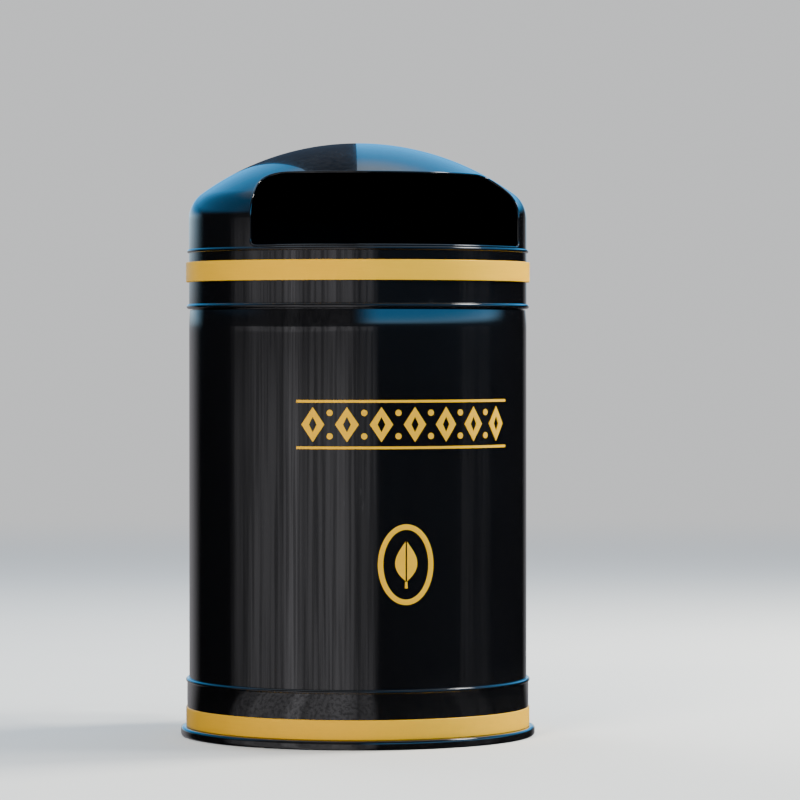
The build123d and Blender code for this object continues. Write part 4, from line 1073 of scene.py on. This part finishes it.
class LITTERBIN_OT_post_bands(BinOperator, bpy.types.Operator):
    """Bends the two slotted steel bands that go round the post"""

    bl_idname = "litterbin.post_bands"
    bl_label = "Post bands"

    def build(self, sizes, colours):
        for level in ("upper", "lower"):
            node = "post_band_" + level
            box_low, box_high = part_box(node)
            thick, chord_y = 1.2 * MM, 211 * MM
            mid_r = box_high.x - thick / 2
            centre = Vector((0, box_high.y - box_high.x, 0))
            slot = Vector((50 * MM, chord_y, 0))
            to_slot = slot - centre
            leave = atan2(to_slot.y, to_slot.x) + acos(mid_r / to_slot.length)
            turns = [leave + (pi - 2 * leave) * step / 90 for step in range(91)]
            path = [centre + Vector((cos(turn), sin(turn), 0)) * mid_r for turn in turns]
            first, last = path[0], path[-1]
            other = Vector((-slot.x, slot.y, 0))
            path += [last.lerp(other, step / 8) for step in range(1, 8)]
            bend = soften([last, other, slot, first], 3 * MM, 6, closed=False)[1:-1]
            half = len(bend) // 2
            middle = [bend[half - 1].lerp(bend[half], step / 20) for step in range(1, 20)]
            path += bend[:half] + middle + bend[half:]
            path += [slot.lerp(first, step / 8) for step in range(1, 8)]
            self.strip(node, path, box_low.z, box_high.z, thick)

    def strip(self, node, path, foot, top, thick):
        """A flat strip along a closed path, with a row of worm slots in its rear half."""
        count = len(path)
        normals = []
        for index in range(count):
            along = (path[(index + 1) % count] - path[index - 1]).normalized()
            normals.append(Vector((along.y, -along.x, 0)))
        levels = [foot, foot + 0.4 * MM, foot + 6 * MM, top - 6 * MM, top - 0.4 * MM, top]
        verts, faces = [], []
        for spot, out in zip(path, normals):
            for side in (1, -1):
                for place, z in enumerate(levels):
                    inset = 0.25 * MM if place in (0, len(levels) - 1) else 0
                    verts.append(spot + out * side * (thick / 2 - inset) + Vector((0, 0, z)))
        rows = len(levels)
        pierced = {index for index in range(count) if 12 < index < 78 and index % 3 == 1}

        def at(index, side, row):
            return (index % count) * 2 * rows + side * rows + row

        for index in range(count):
            for row in range(rows - 1):
                if index in pierced and row == 2:
                    for end in (index, index + 1):
                        faces.append([at(end, 0, 2), at(end, 0, 3), at(end, 1, 3), at(end, 1, 2)])
                    for edge in (2, 3):
                        faces.append([at(index, 0, edge), at(index + 1, 0, edge),
                                      at(index + 1, 1, edge), at(index, 1, edge)])
                    continue
                for side in (0, 1):
                    faces.append([at(index, side, row), at(index + 1, side, row),
                                  at(index + 1, side, row + 1), at(index, side, row + 1)])
            for row in (0, rows - 1):
                faces.append([at(index, 0, row), at(index + 1, 0, row),
                              at(index + 1, 1, row), at(index, 1, row)])
        new_piece(node + "_strip", (verts, faces), "casing", FINISHES["band"], [node],
                  sharp=40)


class LITTERBIN_OT_fasteners(BinOperator, bpy.types.Operator):
    """Sets the hinge rivets and the nuts on the mounting channel"""

    bl_idname = "litterbin.fasteners"
    bl_label = "Fasteners"

    def build(self, sizes, colours):
        rivets = rivet_tree(FINISHES["steel"])
        leaf_r, turn = BODY_R + 2 * MM, radians(5.5)
        shared = {"Head Radius": 4.4 * MM, "Head Height": 2.0 * MM, "Radius": leaf_r, "Azimuth": HINGE_TURN}
        hood_z = (low("hinge_hood_rivets") + high("hinge_hood_rivets")) / 2
        values = {**shared, "Across": 3, "Up": 1, "Turn": turn, "Rise": 0.0, "Height": hood_z}
        grow("hood_rivet_heads", rivets, values, "hood", FINISHES["steel"],
             ["hinge_hood_rivets"])
        body_low, body_high = low("hinge_body_rivets"), high("hinge_body_rivets")
        head = 4.5 * MM
        values = {**shared, "Across": 2, "Up": 2, "Turn": 2 * turn, "Rise": body_high - body_low - 2 * head,
                  "Height": (body_low + body_high) / 2}
        grow("body_rivet_heads", rivets, values, "casing", FINISHES["steel"],
             ["hinge_body_rivets"])
        face_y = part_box("channel_washers")[0].y
        values = {"Spacing X": 56 * MM, "Spacing Z": 270 * MM, "Nut Radius": 7.5 * MM, "Nut Height": 6 * MM,
                  "Washer Radius": 8 * MM, "Washer Height": 1.6 * MM, "Bolt Radius": 4 * MM,
                  "Bolt Reach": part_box("channel_bolts")[1].y - face_y, "Face Y": face_y,
                  "Mid Z": (low("channel_washers") + high("channel_washers")) / 2}
        grow("post_nuts", nut_tree(FINISHES["steel"]), values, "casing", FINISHES["steel"],
             ["channel_nuts", "channel_washers"])


class LITTERBIN_OT_stage(BinOperator, bpy.types.Operator):
    """Lays the floor and sets the lights and the camera"""

    bl_idname = "litterbin.stage"
    bl_label = "Stage"

    def build(self, sizes, colours):
        self.floor(tuple(colours.floor))
        self.dark_post()
        self.surroundings()
        self.lights()
        self.camera()

    def floor(self, colour):
        """A plain pale floor that melts into the backdrop, and that the paint doesn't reflect."""
        f = Finish("stage_floor", Roughness=0.8, Specular_IOR_Level=0.15)
        grain = put(f.tree, "ShaderNodeTexNoise", Vector=f.where, Scale=3.0, Detail=4.0).outputs["Fac"]
        pale = f.mix(grain, shade(colour, 0.98), shade(colour, 1.02))
        paths = f.tree.nodes.new("ShaderNodeLightPath").outputs
        f.drive("Base Color", pale)
        far = put(f.tree, "ShaderNodeVectorMath", {"operation": "LENGTH"}, at_0=f.where).outputs["Value"]
        haze = times(f.tree, between(f.tree, far, 1.0, 6.5), paths["Is Camera Ray"])
        backdrop = put(f.tree, "ShaderNodeEmission", Color=BACKDROP, Strength=1.0)
        mixed = put(f.tree, "ShaderNodeMixShader", Fac=haze)
        f.tree.links.new(f.shader.outputs[0], mixed.inputs[1])
        f.tree.links.new(backdrop.outputs[0], mixed.inputs[2])
        clear = put(f.tree, "ShaderNodeBsdfTransparent")
        chosen = put(f.tree, "ShaderNodeMixShader", Fac=paths["Is Glossy Ray"])
        f.tree.links.new(mixed.outputs[0], chosen.inputs[1])
        f.tree.links.new(clear.outputs[0], chosen.inputs[2])
        f.tree.links.new(chosen.outputs[0], f.tree.nodes["Material Output"].inputs[0])
        mesh = bpy.data.meshes.new("floor")
        count, reach = 64, 40.0
        ring = [(reach * cos(turn), reach * sin(turn), 0) for turn in full_turn(count)]
        mesh.from_pydata(ring, [], [list(range(count))])
        mesh.materials.append(f.material)
        floor = bpy.data.objects.new("floor", mesh)
        bpy.context.scene.collection.objects.link(floor)

    def dark_post(self):
        """A dim cylinder where the post stands, which only the paint's reflections see."""
        f = Finish("stage_post")
        dim = put(f.tree, "ShaderNodeEmission", Color=(0.42, 0.60, 0.95, 1), Strength=0.10)
        f.tree.links.new(dim.outputs[0], f.tree.nodes["Material Output"].inputs[0])
        radius, height = 80 * MM, 3.0
        verts, faces = lathe_mesh([(0, 0), (radius, 0), (radius, height), (0, height)], 96)
        mesh = bpy.data.meshes.new("dark_post")
        mesh.from_pydata(verts, [], faces)
        mesh.materials.append(f.material)
        post = bpy.data.objects.new("dark_post", mesh)
        post.location = (0, 300 * MM, 0)
        post.visible_camera = post.visible_shadow = post.visible_diffuse = False
        bpy.context.scene.collection.objects.link(post)

    def surroundings(self):
        """A pale backdrop, and for the reflections a dim street under a blue sky."""
        world = bpy.data.worlds.new("studio")
        bpy.context.scene.world = world
        world.use_nodes = True
        tree = world.node_tree
        tree.nodes.clear()
        way = tree.nodes.new("ShaderNodeTexCoord").outputs["Generated"]
        right, back, up = put(tree, "ShaderNodeSeparateXYZ", Vector=way).outputs
        front = times(tree, back, -1.0)
        behind = times(tree, between(tree, back, -0.25, 0.35), between(tree, up, 0.08, 0.26))
        verge = times(tree, between(tree, back, 0.82, 0.95), between(tree, up, 0.0, 0.05))
        behind = calc(tree, "MAXIMUM", behind, times(tree, verge, 0.8))
        side = plus(tree, 0.5, times(tree, between(tree, right, -0.45, 0.20), 0.5))
        behind = times(tree, behind, side)
        ahead = times(tree, between(tree, right, -0.35, 0.0), between(tree, front, -0.3, 0.2))
        band = times(tree, between(tree, up, 0.05, 0.10), rest(tree, between(tree, up, 0.22, 0.38)))
        ahead = times(tree, ahead, band)
        hue = put(tree, "ShaderNodeMix", {"data_type": "RGBA"}, at_0=between(tree, up, 0.02, 0.16),
                  at_6=(0.34, 0.60, 0.78, 1), at_7=(0.05, 0.36, 0.78, 1))
        pale = put(tree, "ShaderNodeMix", {"data_type": "RGBA"}, at_0=between(tree, up, 0.62, 0.85),
                   at_6=hue.outputs[2], at_7=(0.50, 0.60, 0.72, 1))
        sky = put(tree, "ShaderNodeBackground", Color=pale.outputs[2])
        bright = plus(tree, times(tree, behind, 2.2), times(tree, ahead, 4.4))
        bright = plus(tree, bright, times(tree, between(tree, up, 0.80, 0.92), 0.9))
        tree.links.new(bright, sky.inputs["Strength"])
        edge = plus(tree, back, times(tree, right, 0.13))
        rim = times(tree, between(tree, edge, 0.80, 0.98), rest(tree, between(tree, up, 0.0, 0.15)))
        street = times(tree, self.street(tree, right, front, up), self.fade(tree, up))
        low_glow = put(tree, "ShaderNodeBackground", Color=(0.95, 0.93, 0.98, 1))
        glow = plus(tree, times(tree, rim, 0.27), street)
        tree.links.new(plus(tree, glow, 0.003), low_glow.inputs["Strength"])
        felt = tree.nodes.new("ShaderNodeAddShader")
        tree.links.new(sky.outputs[0], felt.inputs[0])
        tree.links.new(low_glow.outputs[0], felt.inputs[1])
        seen = put(tree, "ShaderNodeBackground", Color=BACKDROP, Strength=1.0)
        chosen = tree.nodes.new("ShaderNodeMixShader")
        tree.links.new(tree.nodes.new("ShaderNodeLightPath").outputs["Is Camera Ray"], chosen.inputs[0])
        tree.links.new(felt.outputs[0], chosen.inputs[1])
        tree.links.new(seen.outputs[0], chosen.inputs[2])
        leave = tree.nodes.new("ShaderNodeOutputWorld")
        tree.links.new(chosen.outputs[0], leave.inputs[0])

    def street(self, tree, right, front, up):
        """The brightness of the street by azimuth from the bin's front, with fine uprights over it."""
        turn = calc(tree, "ARCTAN2", right, front)
        place = plus(tree, calc(tree, "DIVIDE", turn, 2 * pi), 0.5)
        ramp = put(tree, "ShaderNodeValToRGB", Fac=place)
        stops = ramp.color_ramp.elements
        stops[0].position, stops[1].position = (0.5 + STREET[end][0] / 360 for end in (0, -1))
        for azimuth, _ in STREET[1:-1]:
            stops.new(0.5 + azimuth / 360)
        for stop, (_, bright) in zip(stops, STREET):
            stop.color = (bright, bright, bright, 1)
        across, along = 150.0, 13.0
        spot = put(tree, "ShaderNodeCombineXYZ", X=times(tree, place, across), Y=times(tree, up, along))
        lines = put(tree, "ShaderNodeTexNoise", Vector=spot.outputs[0], Scale=1.0, Detail=2.0,
                    Roughness=0.6).outputs["Fac"]
        uprights = plus(tree, 0.62, times(tree, between(tree, lines, 0.36, 0.58), 0.72))
        return times(tree, ramp.outputs[0], uprights)

    def fade(self, tree, up):
        """How the street's brightness dips just under eye level and falls off above it."""
        dip = rest(tree, times(tree, between(tree, up, -0.022, 0.004), 0.42))
        level = plus(tree, dip, times(tree, between(tree, up, 0.007, 0.012), 0.42))
        above = rest(tree, times(tree, between(tree, up, 0.024, 0.036), 0.85))
        return times(tree, level, above)

    def light(self, name, azimuth, elevation, distance, size, power, colour, mirrored):
        """A rectangular lamp that faces the bin, unseen by the camera, and mirrored in the paint or not."""
        lamp = bpy.data.lights.new(name, "AREA")
        lamp.shape, lamp.size, lamp.size_y = "RECTANGLE", size[0], size[1]
        lamp.energy, lamp.color = power, colour
        holder = bpy.data.objects.new(name, lamp)
        a, e = radians(azimuth), radians(elevation)
        away = Vector((sin(a) * cos(e), -cos(a) * cos(e), sin(e)))
        holder.location = Vector((0, 0, 0.35)) + away * distance
        holder.rotation_mode = "QUATERNION"
        holder.rotation_quaternion = away.to_track_quat("Z", "Y")
        holder.visible_camera, holder.visible_glossy = False, mirrored
        bpy.context.scene.collection.objects.link(holder)

    def lights(self):
        """A low sun that the paint mirrors, two soft keys from the sides, a rear light and a fill."""
        self.light("sun", 74, 40, 3.4, (0.9, 0.7), 80, (1.0, 0.97, 0.92), True)
        self.light("key_right", 99, 28, 3.4, (1.1, 0.9), 330, (1.0, 0.95, 0.84), False)
        self.light("key_left", -40, 34, 3.4, (1.0, 0.8), 120, (1.0, 0.92, 0.80), False)
        self.light("rear", 196, 38, 3.6, (1.4, 1.0), 70, (1.0, 0.97, 0.93), False)
        self.light("fill", 0, 60, 3.8, (1.8, 1.4), 8, (0.95, 0.97, 1.0), False)

    def camera(self):
        """A long lens, a little below the middle of the view and left of the front."""
        lens = bpy.data.cameras.new("camera")
        lens.lens, lens.sensor_width = 188.1, 36.0
        lens.clip_start, lens.clip_end = 0.1, 200
        camera = bpy.data.objects.new("camera", lens)
        azimuth, distance, eye, aim = radians(-16), 4.96, 0.460, 0.3965
        away = Vector((sin(azimuth), -cos(azimuth), 0))
        right = Vector((cos(azimuth), sin(azimuth), 0))
        spot = away * distance + Vector((0, 0, eye))
        target = right * 0.050 + Vector((0, 0, aim))
        camera.location = spot
        camera.rotation_mode = "QUATERNION"
        camera.rotation_quaternion = (target - spot).to_track_quat("-Z", "Y")
        bpy.context.scene.collection.objects.link(camera)
        bpy.context.scene.camera = camera


PIECES = (LITTERBIN_OT_finishes, LITTERBIN_OT_metalwork, LITTERBIN_OT_body, LITTERBIN_OT_foot,
          LITTERBIN_OT_hood, LITTERBIN_OT_ornament, LITTERBIN_OT_liner, LITTERBIN_OT_post_bands,
          LITTERBIN_OT_fasteners, LITTERBIN_OT_stage)


class LITTERBIN_PT_panel(bpy.types.Panel):
    """The bin's pieces, sizes and colours in the sidebar"""

    bl_idname = "LITTERBIN_PT_panel"
    bl_label = "Litter bin"
    bl_space_type = "VIEW_3D"
    bl_region_type = "UI"
    bl_category = "Litter bin"

    def draw(self, context):
        for group in (context.scene.litter_bin_sizes, context.scene.litter_bin_colours):
            for name in group.__annotations__:
                self.layout.prop(group, name)
        for piece in PIECES:
            self.layout.operator(piece.bl_idname)


CLASSES = (LitterBinColours, LitterBinSizes, *PIECES, LITTERBIN_PT_panel)


def register():
    for item in CLASSES:
        bpy.utils.register_class(item)
    bpy.types.Scene.litter_bin_colours = bpy.props.PointerProperty(type=LitterBinColours)
    bpy.types.Scene.litter_bin_sizes = bpy.props.PointerProperty(type=LitterBinSizes)


def unregister():
    del bpy.types.Scene.litter_bin_sizes
    del bpy.types.Scene.litter_bin_colours
    for item in reversed(CLASSES):
        bpy.utils.unregister_class(item)


def main():
    """Builds every piece."""
    register()
    for piece in PIECES:
        group, action = piece.bl_idname.split(".")
        getattr(getattr(bpy.ops, group), action)()


if __name__ == "__main__":
    main()
